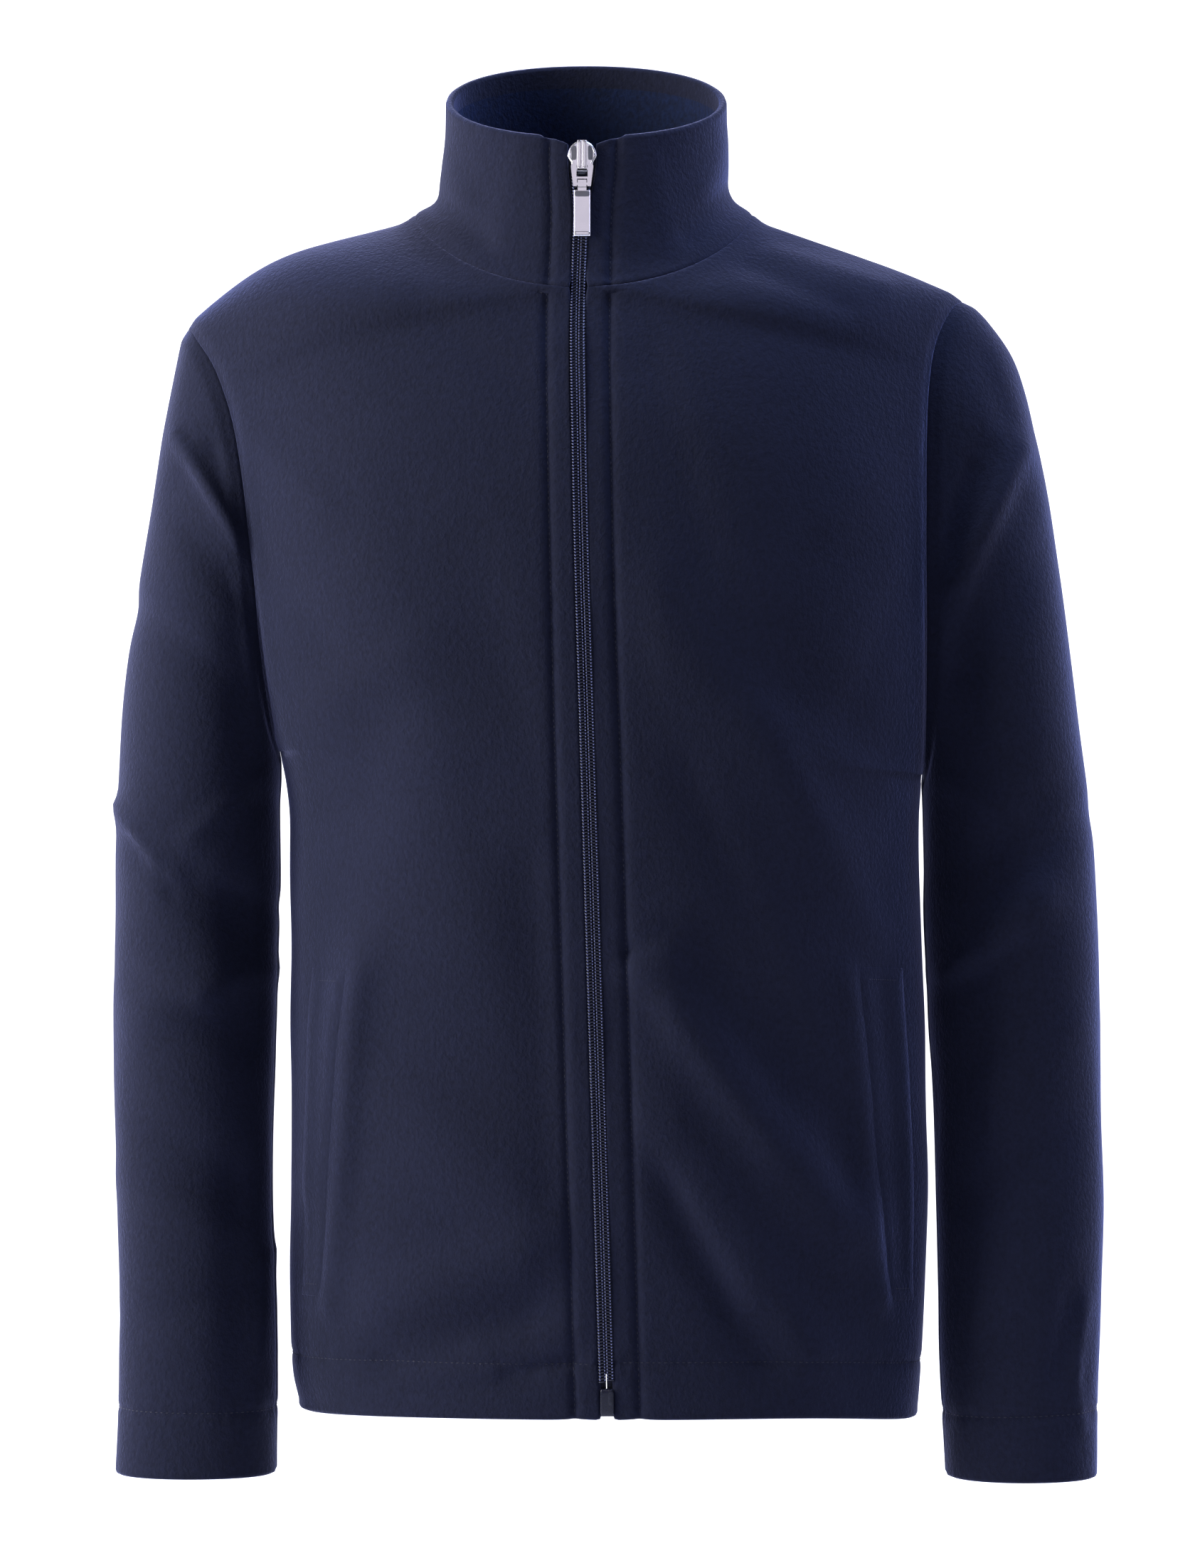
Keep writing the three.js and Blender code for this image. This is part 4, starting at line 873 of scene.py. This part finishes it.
TAPE = woven_tape()
COIL = speckled("moulded_navy_nylon", "#0e101d", "#1c1f33", 1.5, 0.03, **{
    "Roughness": 0.22, "Specular IOR Level": 0.5})
THREAD = speckled("twisted_polyester_thread", "#0f1121", "#1b1e34", 0.8, 0.1, **{
    "Roughness": 0.6, "Specular IOR Level": 0.35, "Sheen Weight": 0.4, "Sheen Roughness": 0.3})
# Light beads on the coil, its sewing thread and the teeth's heads, coloured light as painted highlights.
COIL_THREAD_AND_HIGHLIGHT = speckled("coil_thread_and_painted_highlight", "#525783", "#787eab", 0.8, 0.05, **{
    "Roughness": 0.4, "Specular IOR Level": 0.5})
NICKEL = speckled("bright_nickel_plate", "#e2e2e6", "#f2f1f3", 6, 0.004, **{"Metallic": 1.0, "Roughness": 0.24})
print("materials", [m.name for m in (OUTSIDE, SHADED_INSIDE, TAPE, COIL, THREAD, COIL_THREAD_AND_HIGHLIGHT, NICKEL)])

# %% [markdown]
# ## Making the panels
# Each panel gets the same steps a maker would see in it: the creases, the slow unevenness, a valley at
# every sewn edge, and a groove with puckers under every row of topstitching. Then it becomes a wall.

# %% Relief of a panel
def hang(points, creases):
    """Creases and slow unevenness of a free stretch of cloth."""
    return fold_height(creases, points, steep=1.5) + 0.9 * swell(points, 34, 1.3) + 0.4 * swell(points, 13, 4.1)


def relief(points, nearest, at_neck, creases, stitched, node):
    """How far each point moves out: a valley at the nearest seam or the filling at the neck, creases
    and slow unevenness that fade out beside them, where the cloth is held flat, the roll along a
    pocket, and the grooves of the topstitching, each of its own depth."""
    free = ease(nearest / 14)
    sewn = mix(neck_fill(at_neck), seam_dip(nearest), ease((at_neck - nearest) / 6))
    height = sewn + free * hang(points, creases)
    for side in SIGN:
        if node == f"front_{side}":
            height += fold_height(POCKET_ROLL[side], points, steep=1.6)
    for line, depth in stitched:
        distance, along = near_line(points, line)
        height += stitch_dip(distance, along, depth)
    return height


def hem_thickness(points, fold_top):
    """One layer of fleece, and two below the top of the fold at the hem or the cuff."""
    return mix(HEM_CLOTH, CLOTH, ease((points[:, 2] - fold_top) / 1.5))


def trunk_walls(points):
    """The trunk's thickness: its fold hangs lower at the side seams, by the fourth power of how far
    out a point is."""
    middle = zip_x(points[:, 2])
    fold_top = HEM + HEM_DEPTH
    for side in SIGN:
        out = (points[:, 0] - middle) / (trunk_side[side](points[:, 2]) - middle)
        fold_top = fold_top - HEM_DROP[side] * np.maximum(out, 0) ** HEM_BEND
    return hem_thickness(points, fold_top)


def sheet_piece(name, panel, creases, stitched, thick, materials=(OUTSIDE, OUTSIDE)):
    """Moves the panel's points out by its relief, builds the wall, and lays the piece on the frame."""
    grid, quads = panel["points"], panel["quads"]
    shape = grid.shape
    pull, free, nearest = seam_hold(grid, [SEWN_LINES[key] for key in panel["seams"]])
    neck_lines = [SEAMS[key] for key in panel["seams"] if key[0] == "neck"]
    at_neck = np.min([near_line(grid, line)[0] for line in neck_lines] + [np.full(grid.shape[:-1], FAR)], 0)
    height = relief(grid, nearest, at_neck, creases, stitched, panel["node"])
    outer = (grid + unit(pull + free * panel["normals"]) * height[..., None]).reshape(-1, 3)
    facing = unit(pull.reshape(-1, 3) + free.reshape(-1, 1) * normals_of(outer, quads))
    round_edge = mix(0.15, 1, ease(nearest.ravel() / 6))
    points, faces, inside = cloth_wall(outer, quads, thick(outer), facing, round_edge)
    made = make_mesh(name, points, faces, materials, inside.astype(int))
    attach(made, "jacket")
    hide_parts(panel["node"])
    return made, outer.reshape(shape), facing.reshape(shape)


def trunk_axis(centre):
    """A line up the middle of the body, to tell the outside from the inside."""
    return place(centre[:, 0] * 0.1, 0 * centre[:, 1], np.minimum(centre[:, 2], -150))


print("panel tools ready")

# %% Panels and the seams between them
def panel(node, points, quads, seams):
    """A panel's points, quads, normals and the names of its seams."""
    flat = points.reshape(-1, 3)
    normals = normals_of(flat, quads).reshape(points.shape)
    return {"node": node, "points": points, "quads": quads, "normals": normals, "seams": seams}


SAME_PLACE = 0.05  # mm, points closer than this are one


def back_mesh():
    """Both halves as one mesh: the left half's middle column is the right half's own, up to the neck."""
    right, left = BACK["right"], BACK["left"]
    rows, columns = right.shape[:2]
    shared = np.linalg.norm(right[:, 0] - left[:, 0], axis=-1) < SAME_PLACE
    index = np.arange(rows * columns).reshape(rows, columns)
    other = index + rows * columns
    other[shared, 0] = index[shared, 0]
    points = np.concatenate([right.reshape(-1, 3), left.reshape(-1, 3)])
    quads = []
    for ids in (index, other):
        four = np.stack([ids[:-1, :-1], ids[:-1, 1:], ids[1:, 1:], ids[1:, :-1]], -1).reshape(-1, 4)
        quads.append(facing_out(points, four, trunk_axis))
    used, compact = np.unique(np.concatenate(quads), return_inverse=True)
    return points[used], compact.reshape(-1, 4)


def sleeve_quads(grid):
    """The sleeve's quads, facing away from the middles of its rings."""
    spine = grid.mean(1)
    order = np.argsort(spine[:, 2])

    def axis(centre):
        return between(centre[:, 2], spine[order, 2], spine[order])

    return facing_out(grid.reshape(-1, 3), quads_of(*grid.shape[:2], wrap=True), axis)


def neck_axis(centre):
    """A line up the middle of the neck."""
    return place(0 * centre[:, 0], 0 * centre[:, 1], centre[:, 2])


PANELS = {}
for side in SIGN:
    grid = FRONT[side]
    quads = facing_out(grid.reshape(-1, 3), quads_of(*grid.shape[:2]), trunk_axis)
    names = [("armhole", side, "front"), ("side", side), ("neck", side, "front"), ("shoulder", side)]
    PANELS[f"front_{side}"] = panel(f"front_{side}", grid, quads, names)
    grid = SLEEVE[side]
    SEAMS["underarm", side] = grid[:, 0]
    names = [("underarm", side), ("armhole", side, "front"), ("armhole", side, "back")]
    PANELS[f"sleeve_{side}"] = panel(f"sleeve_{side}", grid, sleeve_quads(grid), names)
names = [(kind, side) for side in SIGN for kind in ("side", "shoulder")]
names += [(kind, side, "back") for side in SIGN for kind in ("armhole", "neck")]
PANELS["back"] = panel("back", *back_mesh(), names)
quads = facing_out(COLLAR.reshape(-1, 3), quads_of(*COLLAR.shape[:2]), neck_axis)
names = [("neck", side, face) for side in SIGN for face in FACING]
PANELS["collar"] = panel("collar", COLLAR, quads, names)

SEWN_LINES = {}
for key, line in SEAMS.items():
    meeting = [(p["points"], p["normals"]) for p in PANELS.values() if key in p["seams"]]
    SEWN_LINES[key] = line, common_normal(line, meeting)
print("sewn lines", len(SEWN_LINES))

# %% The fronts
SURFACE = {}
ZIP_GROOVE, HEM_GROOVE = 1.9, 0.8  # how deep the topstitching sinks in
AT_STITCH = ZIPPED.index(13)
AT_HEM = HEMMED.index(30)
for side in SIGN:
    grid = FRONT[side]
    beside_zip = grid[grid[:, 0, 2] < NECK_FRONT - 0.5][:, AT_STITCH]
    made, points, normals = sheet_piece(
        f"front_{side}_fleece", PANELS[f"front_{side}"], CREASES[f"front_{side}"],
        [(beside_zip, ZIP_GROOVE), (grid[AT_HEM], HEM_GROOVE)], trunk_walls)
    SURFACE["front", side] = points, normals

# %% The back
hem_line = np.concatenate([BACK["right"][AT_HEM, ::-1], BACK["left"][AT_HEM, 1:]])
back, moved, normals = sheet_piece(
    "back_fleece", PANELS["back"], CREASES["back"], [(hem_line, HEM_GROOVE)], trunk_walls)
on_hem = near_line(PANELS["back"]["points"], hem_line)[0] < SAME_PLACE
SURFACE["hem", "back"] = moved[on_hem], normals[on_hem]

# %% The sleeves
for side in SIGN:
    grid = SLEEVE[side]
    cuff_row = len(grid) - len(HEMMED) + HEMMED[::-1].index(30)
    cuff_line = np.concatenate([grid[cuff_row], grid[cuff_row, :1]])
    walls = lambda outer: hem_thickness(outer, CUFF[side] + CUFF_DEPTH)
    made, points, normals = sheet_piece(
        f"sleeve_{side}_fleece", PANELS[f"sleeve_{side}"], CREASES[f"sleeve_{side}"],
        [(cuff_line, HEM_GROOVE)], walls)
    SURFACE["cuff", side] = points[cuff_row], normals[cuff_row]

# %% The collar
COLLAR_LINES = (8, COLLAR.shape[1] - 9)  # the columns of its two rows of stitches
COLLAR_CREASES = table(FOLD_COLUMNS, [
    (-96, 0, -62, -32, 8, 2.0), (-90, 14, -56, -18, 9, -1.8), (-88, 40, -70, 8, 10, 1.2),
    (96, 2, 66, -30, 8, 2.0), (90, 20, 58, -14, 10, -1.8), (86, 44, 70, 14, 10, 1.0),
    (-50, -20, -36, 30, 12, 0.9), (50, -20, 36, 26, 12, 0.9),
])


def collar_thickness(outer):
    """Two layers, and one where the zip tape lies behind the edge."""
    across = np.abs(outer[:, 0] - zip_x(outer[:, 2])) - zip_gap(outer[:, 2])
    beside = (outer[:, 1] < -40) & (across < STITCH + 3)
    return np.where(beside, mix(CLOTH, COLLAR_CLOTH, ease((across - STITCH) / 3)), COLLAR_CLOTH)


stitched = [(COLLAR[:, column], ZIP_GROOVE) for column in COLLAR_LINES]
# The inner faces take the copy of the fleece with painted shade.
collar, points, normals = sheet_piece(
    "collar_fleece", PANELS["collar"], COLLAR_CREASES, stitched, collar_thickness, (OUTSIDE, SHADED_INSIDE))
SURFACE["collar"] = points, normals


def outer_finish_near(made, line, depth):
    """Gives the faces less than `depth` from a line the piece's outer finish."""
    centres, index = np.empty(3 * len(made.data.polygons)), np.empty(len(made.data.polygons), int)
    made.data.polygons.foreach_get("center", centres)
    made.data.polygons.foreach_get("material_index", index)
    index[near_line(centres.reshape(-1, 3) / MM, line)[0] < depth] = 0
    made.data.polygons.foreach_set("material_index", index)


RIM_FACING = 11  # the outer finish goes this far down from the rim on the inside
# Below this band the inner faces keep the darker copy with painted shade.
outer_finish_near(collar, points[-1], RIM_FACING)

# %% [markdown]
# ## Side pockets
# Each front has a slanting pocket opening with a narrow facing strip beside it. The strip is cloth of
# its own: its front edge is tucked under the soft roll of the front's folded edge, and its other
# three are sewn down.

# %% Pocket strips
WELT = table("z rightFront rightSide leftFront leftSide", [
    (-622, 0.655, 0.772, 0.632, 0.78), (-530, 0.6, 0.744, 0.565, 0.75), (-436, 0.522, 0.716, 0.518, 0.722),
])
WELT_CLOTH = 1.6


def front_surface(side, z, u):
    """The plain surface of a front at heights z and places u along its rows."""
    level = (z[:, 0] - HEM) / (ARMHOLE[side][1] - HEM)
    return row_points(trunk_rows(side, "front", level), u, side, "front")


def welt_grid(side, count=90, across=16):
    """The strip's points between its two edge curves: 0.3 mm over the plain front at its edges, where
    the front's roll covers it, and 1.3 mm over it in the middle."""
    z = np.linspace(WELT["z"][0], WELT["z"][-1], count)[:, None]
    share = np.linspace(0, 1, across)[None]
    front, back = curve(WELT, "z", side + "Front")(z), curve(WELT, "z", side + "Side")(z)
    points = front_surface(side, z, mix(front, back, share))
    quads = facing_out(points.reshape(-1, 3), quads_of(count, across), trunk_axis)
    normals = normals_of(points.reshape(-1, 3), quads).reshape(points.shape)
    width = np.linalg.norm(points[:, 0] - points[:, -1], axis=-1)[:, None]
    from_end = np.minimum(z - WELT["z"][0], WELT["z"][-1] - z)
    from_edge = np.minimum(np.minimum(share, 1 - share) * width, from_end)
    height = mix(0.3, 1.3, ease(from_edge / 7)) + hang(points, CREASES[f"front_{side}"])
    return points + normals * height[..., None], quads


for side in SIGN:
    points, quads = welt_grid(side)
    flat = points.reshape(-1, 3)
    walls, faces, _ = cloth_wall(flat, quads, WELT_CLOTH)
    made = make_mesh(f"pocket_strip_{side}", walls, faces, (OUTSIDE, OUTSIDE))
    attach(made, "jacket")
    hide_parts(f"pocket_welt_{side}")
    SURFACE["welt", side] = points, normals_of(flat, quads).reshape(points.shape)

# %% [markdown]
# ## Sewing thread
# Every stitch is a short thread that comes up, lies on the cloth and dives in again. One stitch is a
# small six-sided capsule, and a row of them is the same capsule repeated with numpy, so 300 stitches
# cost no more code than one.

# %% Rows of stitches
def capsules(centres, along, up, length, radius, dive):
    """One capsule per centre: six-sided rings at five places along it, narrow at both ends, which sink
    by `dive` there. A point is centre + along t + across r cos a + up (r sin a - dive t t)."""
    t = np.array([-1, -0.72, 0, 0.72, 1])
    wide = np.array([0.35, 0.85, 1, 0.85, 0.35])
    angle = np.arange(6) * math.pi / 3
    across = unit(np.cross(up, along))
    ring_x = (wide[:, None] * np.cos(angle)).ravel() * radius
    ring_z = (wide[:, None] * np.sin(angle) * radius - dive * (t * t)[:, None]).ravel()
    steps = np.repeat(t, 6) * length / 2
    points = (centres[:, None] + along[:, None] * steps[None, :, None]
              + across[:, None] * ring_x[None, :, None] + up[:, None] * ring_z[None, :, None])
    one = quads_of(len(t), 6, wrap=True)[:, ::-1]
    caps = np.array([[0, 1, 2, 3], [3, 4, 5, 0], [27, 26, 25, 24], [24, 29, 28, 27]])
    first = len(ring_x) * np.arange(len(centres))[:, None, None]
    return points.reshape(-1, 3), (np.concatenate([one, caps])[None] + first).reshape(-1, 4)


def stitch_row(line, normals, pitch=3.4, length=2.6, radius=0.24):
    """Stitches along a line on the cloth, `pitch` apart, with the cloth's normals there."""
    gone = walked(line[None])[0]
    at = np.arange(pitch, gone[-1] - pitch / 2, pitch)
    along = unit(between(at + 0.5, gone, line) - between(at - 0.5, gone, line))
    up = unit(between(at, gone, normals))
    return capsules(between(at, gone, line) + up * 0.12, along, up, length, radius, 0.42)


def sewing(name, rows, material=THREAD, body="jacket"):
    """All rows of one kind of sewing as one piece."""
    points, faces, total = [], [], 0
    for some_points, some_faces in rows:
        points.append(some_points)
        faces.append(some_faces + total)
        total += len(some_points)
    made = make_mesh(name, np.concatenate(points), np.concatenate(faces), [material])
    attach(made, body)
    return made


hem_rows, zip_rows, cuff_rows, collar_rows = [], [], [], []
for side in SIGN:
    points, normals = SURFACE["front", side]
    hem_rows.append(stitch_row(points[AT_HEM, 2:-2], normals[AT_HEM, 2:-2]))
    below = points[:, AT_STITCH, 2] < NECK_FRONT - 2
    zip_rows.append(stitch_row(points[below, AT_STITCH], normals[below, AT_STITCH]))
    points, normals = SURFACE["cuff", side]
    cuff_rows.append(stitch_row(points, normals))
points, normals = SURFACE["collar"]
for column in COLLAR_LINES:
    collar_rows.append(stitch_row(points[2:-2, column], normals[2:-2, column]))
points, normals = SURFACE["hem", "back"]
order = np.argsort(points[:, 0])
hem_rows.append(stitch_row(points[order], normals[order]))
sewing("stitches_hem", hem_rows)
sewing("stitches_zip", zip_rows)
sewing("stitches_cuffs", cuff_rows)
sewing("stitches_collar", collar_rows)

pocket_rows = []
for side in SIGN:
    points, normals = SURFACE["welt", side]
    for end in (3, -4):
        pocket_rows.append(stitch_row(
            points[end, 3:-3], normals[end, 3:-3], pitch=2.0, length=1.8, radius=0.16))
sewing("stitches_pockets", pocket_rows)

# %% [markdown]
# ## The zip
# A coil zip is a nylon thread wound into a spiral on each tape; where the two spirals mesh they look
# like two ladders of small rounded teeth. Each tooth is one capsule of the same kind as a stitch,
# thicker and laid across the zip, so one function makes both.

# %% Coil teeth
TOOTH = {"pitch": 1.75, "length": 4.4, "radius": 0.74, "slant": 0.16, "middle": 2.3}
FOLLOWS = 0.55  # how much of the zip's opening at the slider the coil follows
HALF_PITCH = {"right": 0, "left": TOOTH["pitch"] / 2}  # the two sides' teeth lie between each other
BOX_TOP = -669.0


def zip_frame(z):
    """The middle of the zip at heights z: its place, the direction up the zip and the one outwards."""
    middle = place(zip_x(z), zip_y(z), z)
    step = place(zip_x(z + 1) - zip_x(z - 1), zip_y(z + 1) - zip_y(z - 1), 2.0)
    up = unit(step)
    out = unit(np.cross(np.array([1.0, 0, 0]), up))
    return middle, up, out * np.sign(-out[:, 1:2])


def coil(side):
    """One side's teeth, from the box to the slider, half a pitch above the other side's."""
    z = np.arange(BOX_TOP + 1, 20, TOOTH["pitch"]) + HALF_PITCH[side]
    middle, up, out = zip_frame(z)
    across = unit(np.cross(up, out))
    across = across * np.sign(across[:, :1]) * SIGN[side]
    open_by = (zip_gap(z) - ZIP_EDGE)[:, None] * FOLLOWS
    centre = middle + across * (TOOTH["middle"] + open_by) - out * 0.1
    lean = unit(across - up * TOOTH["slant"])
    return capsules(centre, lean, out, TOOTH["length"], TOOTH["radius"], 0.25)


teeth = sewing("zip_coil", [coil(side) for side in SIGN], COIL)
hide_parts("zip_chain")

# %% Thread and painted highlights on the coil, and the bottom box
def beads(side, out_by, radius):
    """A row of short loops along one side's coil, one on each tooth."""
    z = np.arange(BOX_TOP + 2 + HALF_PITCH[side], 16, TOOTH["pitch"])
    middle, up, out = zip_frame(z)
    centre = middle + place(SIGN[side] * (out_by + (zip_gap(z) - ZIP_EDGE) * FOLLOWS), 0, 0) + out * 0.55
    return capsules(centre, up, out, 0.75, radius, 0.1)


# Two rows of light beads: the coil's sewing thread at 3.5 mm and the teeth's heads at 0.75 mm. Their light
# colour is painted highlight of the coil.
for name, out_by, radius in (("zip_coil_thread_and_highlight", 3.5, 0.46), ("zip_coil_head_highlights", 0.75, 0.38)):
    sewing(name, [beads(side, out_by, radius) for side in SIGN], COIL_THREAD_AND_HIGHLIGHT)


def rounded_block(centre, half, power=0.28, rows=24, columns=40):
    """A block with round edges: x, y, z are the half sizes times cosines and sines to a small power
    with their signs kept, closed at both poles."""
    tilt = np.linspace(-math.pi / 2, math.pi / 2, rows)[:, None]
    turn = np.linspace(0, 2 * math.pi, columns, endpoint=False)[None]
    soft = lambda value: np.sign(value) * np.abs(value) ** power
    flat = soft(np.cos(tilt))
    points = place(flat * soft(np.cos(turn)), flat * soft(np.sin(turn)), soft(np.sin(tilt)))
    points = points.reshape(-1, 3) * half + centre
    quads = quads_of(rows, columns, wrap=True)
    pole = np.array([points[:columns].mean(0), points[-columns:].mean(0)])
    points[:columns], points[-columns:] = pole[0], pole[1]
    return points, quads


box_z = HEM + 8.2
box = sewing("zip_bottom_box", [
    rounded_block(np.array([zip_x(box_z), zip_y(HEM) + 0.45, box_z]), np.array([3.8, 1.65, 7.75])),
    rounded_block(np.array([zip_x(box_z) + 1.9, zip_y(HEM) - 1.0, box_z + 3]), np.array([1.0, 0.6, 4.4])),
], COIL)
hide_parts("zip_box")

# %% [markdown]
# ## Finishes on the solids that stay
# Slider, link, tab and the two zip tapes keep their solids and get their finish here: plated zinc on
# the metal and a weave on the tapes. What the metal still needs is laid on it in the next step.

# %% Metal and tapes
for name, finish in {"zip_slider": NICKEL, "pull_link": NICKEL, "pull_tab": NICKEL,
                     "zip_tape_right": TAPE, "zip_tape_left": TAPE}.items():
    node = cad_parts[name]
    for holder in node.material_slots:
        holder.material = finish
    print(name, "gets", finish.name)

# %% [markdown]
# The slider's crown has a raised border, two satin fields and a bridge with two polished rails, and the
# tab has a satin band above and a step at its foot. They are laid on the solids in the slider's own
# frame: x across, y to the inside of the cloth and z up the zip, which leans back with the collar.

# %% Details on the slider and the tab
SLIDER_PLACE = np.array([-1.305, -73.815, 27.0])
SLIDER_LEAN = math.radians(9.23)
CROWN = {"half": 8.2, "waist": 5.4, "neck": 6.2, "top": 9.0, "foot": -9.0, "widest": 0.5}
SATIN = speckled("satin_nickel", "#8b8c94", "#9c9da5", 4, 0.004, **{"Metallic": 1.0, "Roughness": 0.45})
FACE = -2.1  # the crown's front face, and the tab's below it
TAB_FACE = -4.4


def on_slider(points):
    """From the slider's frame to the jacket's: turned about x by the lean and moved to its place."""
    c, s = math.cos(SLIDER_LEAN), math.sin(SLIDER_LEAN)
    x, y, z = points.T
    return place(x, c * y + s * z, c * z - s * y) + SLIDER_PLACE


def bend(start, pull, end, count=9):
    """Points of a quadratic curve, (1 - t)^2 start + 2 t (1 - t) pull + t^2 end."""
    t = np.linspace(0, 1, count)[:-1, None]
    return (1 - t) ** 2 * np.array(start) + 2 * t * (1 - t) * np.array(pull) + t * t * np.array(end)


def crown_border(inset=0.75, radius=0.42, sides=8):
    """A tube around the crown: its outline, drawn in by `inset`, with a ring of points at each place."""
    wide, top, z = CROWN["half"], CROWN["top"], CROWN["widest"]
    half = np.concatenate([
        [[CROWN["waist"], CROWN["foot"]]], bend((CROWN["neck"], z - 4), (wide, z - 1), (wide, z)),
        bend((wide, z), (wide * 0.85, top), (0, top))])
    path = np.concatenate([half, [[0, top]], half[::-1] * [-1, 1]])
    along = unit(np.roll(path, -1, 0) - np.roll(path, 1, 0))
    inward = np.stack([-along[:, 1], along[:, 0]], -1)
    middle = path + inward * inset
    turn = np.arange(sides) * 2 * math.pi / sides
    in_plane = middle[:, None] + inward[:, None] * (radius * np.cos(turn))[None, :, None]
    points = place(in_plane[..., 0], FACE - radius * np.sin(turn)[None], in_plane[..., 1]).reshape(-1, 3)
    i, j = np.meshgrid(np.arange(len(path)), np.arange(sides), indexing="ij")
    after, beside = (i + 1) % len(path) * sides, (j + 1) % sides
    return points, np.stack([i * sides + j, i * sides + beside, after + beside, after + j], -1).reshape(-1, 4)


def details(name, parts, material, body="jacket"):
    """Several small closed shapes in the slider's frame as one piece on a body."""
    return sewing(name, [(on_slider(points), faces) for points, faces in parts], material, body)


def block(x, y, z, half):
    """A small block with soft edges."""
    return rounded_block(np.array([x, y, z]), np.array(half), 0.4, 16, 24)


details("slider_border", [crown_border()], NICKEL)
details("slider_fields", [block(x, FACE, 2.0, (1.5, 0.16, 4.2)) for x in (-4.7, 4.7)], SATIN)
details("slider_rails", [block(x, -6.4, -0.2, (1.05, 0.4, 8.3)) for x in (-1.45, 1.45)], NICKEL)
details("tab_band", [block(0, TAB_FACE, -22.8, (4.3, 0.14, 1.7))], SATIN, "tab")
details("tab_step", [block(0, TAB_FACE, -46.0, (4.5, 0.3, 1.1))], NICKEL, "tab")

# %% [markdown]
# ## Studio
# The photograph is a product shot: a level camera, a white ground, and light from both sides that
# grazes the sleeves. A pale cove stands in for the ground: a floor that curves up into a wall, far
# enough behind the jacket for its back to be looked at too.

# %% Floor, lights and camera
FLOOR, COVE_START, COVE_ROUND = -950, 3300, 1200
STUDIO = {"front": -9000, "top": 9000, "half": 10500.0}


def cove():
    """A floor 0.95 m below that curves up into a wall: a straight line, a quarter circle and a line."""
    turn = np.linspace(0, math.pi / 2, 24)
    y = np.concatenate([[STUDIO["front"]], COVE_START + COVE_ROUND * np.sin(turn), [COVE_START + COVE_ROUND]])
    z = np.concatenate([[FLOOR], FLOOR + COVE_ROUND * (1 - np.cos(turn)), [STUDIO["top"]]])
    x = np.array([-STUDIO["half"], STUDIO["half"]])[None]
    return place(x, y[:, None], z[:, None])


grid = cove()
ground = speckled("pale_backdrop_painted_glow", "#c8c8cc", "#cfcfd3", 40, 0.01, **{
    "Roughness": 0.9, "Specular IOR Level": 0.1, "Emission Color": linear("#ffffff")})
tree = ground.node_tree
depth = add(tree, "ShaderNodeSeparateXYZ", {"Vector": tree.nodes["Texture Coordinate"].outputs["Object"]})
# The backdrop glows, from 0.12 on the floor in front to 0.95 on the wall behind: painted light that keeps the
# wall white and lights the jacket's edges from behind.
glow = add(tree, "ShaderNodeMapRange", {
    "Value": depth.outputs["Y"], "From Min": 0.4, "From Max": 1.2, "To Min": 0.12, "To Max": 0.95})
tree.links.new(glow.outputs[0], tree.nodes["Principled BSDF"].inputs["Emission Strength"])
floor = make_mesh("backdrop", grid.reshape(-1, 3), quads_of(*grid.shape[:2])[:, ::-1], [ground])

LIGHTS = table("x y z size_x size_y power", [
    (-1.7, 0.45, 0.1, 0.9, 2.2, 26),
    (1.7, 0.45, 0.1, 0.9, 2.2, 18),
    (-2.3, -0.8, 0.45, 1.0, 2.0, 102),
    (2.3, -0.5, 0.6, 1.0, 1.8, 5),
    (0.9, 0.1, 1.9, 1.0, 0.8, 62),
    (0.1, -3.6, 0.25, 1.2, 0.8, 2.4),
    (0.0, -3.2, 1.5, 1.0, 0.9, 3.0),
])
LIGHT_TINTS = ["#d8d8ff", "#d8d8ff", "#ffffff", "#f0f2ff", "#a8c2ff", "#f4ecff", "#f4ecff"]
AIM = np.array([0.0, 0.0, -0.3])
for i, tint in enumerate(LIGHT_TINTS):
    light = bpy.data.lights.new(f"soft_light_{i}", "AREA")
    light.shape = "RECTANGLE"
    light.size, light.size_y = float(LIGHTS["size_x"][i]), float(LIGHTS["size_y"][i])
    light.energy = float(LIGHTS["power"][i])
    light.color = linear(tint)[:3]
    lamp = bpy.data.objects.new(light.name, light)
    lamp.location = [float(LIGHTS[axis][i]) for axis in "xyz"]
    direction = AIM - np.array(lamp.location)
    lamp.rotation_euler = [math.acos(-direction[2] / np.linalg.norm(direction)), 0,
                           math.atan2(direction[1], direction[0]) - math.pi / 2]
    bpy.context.scene.collection.objects.link(lamp)
    print(lamp.name, light.energy, "W")

world = bpy.data.worlds.new("white_studio")
world.use_nodes = True
world.node_tree.nodes["Background"].inputs["Color"].default_value = linear("#f4f4f8")
world.node_tree.nodes["Background"].inputs["Strength"].default_value = 0.06
bpy.context.scene.world = world

PIXEL = 0.4167  # mm of the jacket's middle plane in one pixel of the photograph
PHOTO_HEIGHT = 2205  # pixels
SENSOR = 24  # mm
CAMERA_AWAY = 3000  # mm in front of the middle plane
camera_data = bpy.data.cameras.new("camera")
camera_data.sensor_fit = "VERTICAL"
camera_data.sensor_height = SENSOR
camera_data.lens = SENSOR * CAMERA_AWAY / (PHOTO_HEIGHT * PIXEL)
camera = bpy.data.objects.new("camera", camera_data)
camera.location = (0.0075, -CAMERA_AWAY * MM, -0.3313)
camera.rotation_euler = (math.pi / 2, 0, 0)
bpy.context.scene.collection.objects.link(camera)
bpy.context.scene.camera = camera
bpy.context.scene.view_settings.view_transform = "Standard"
print("lens", round(camera_data.lens, 2))
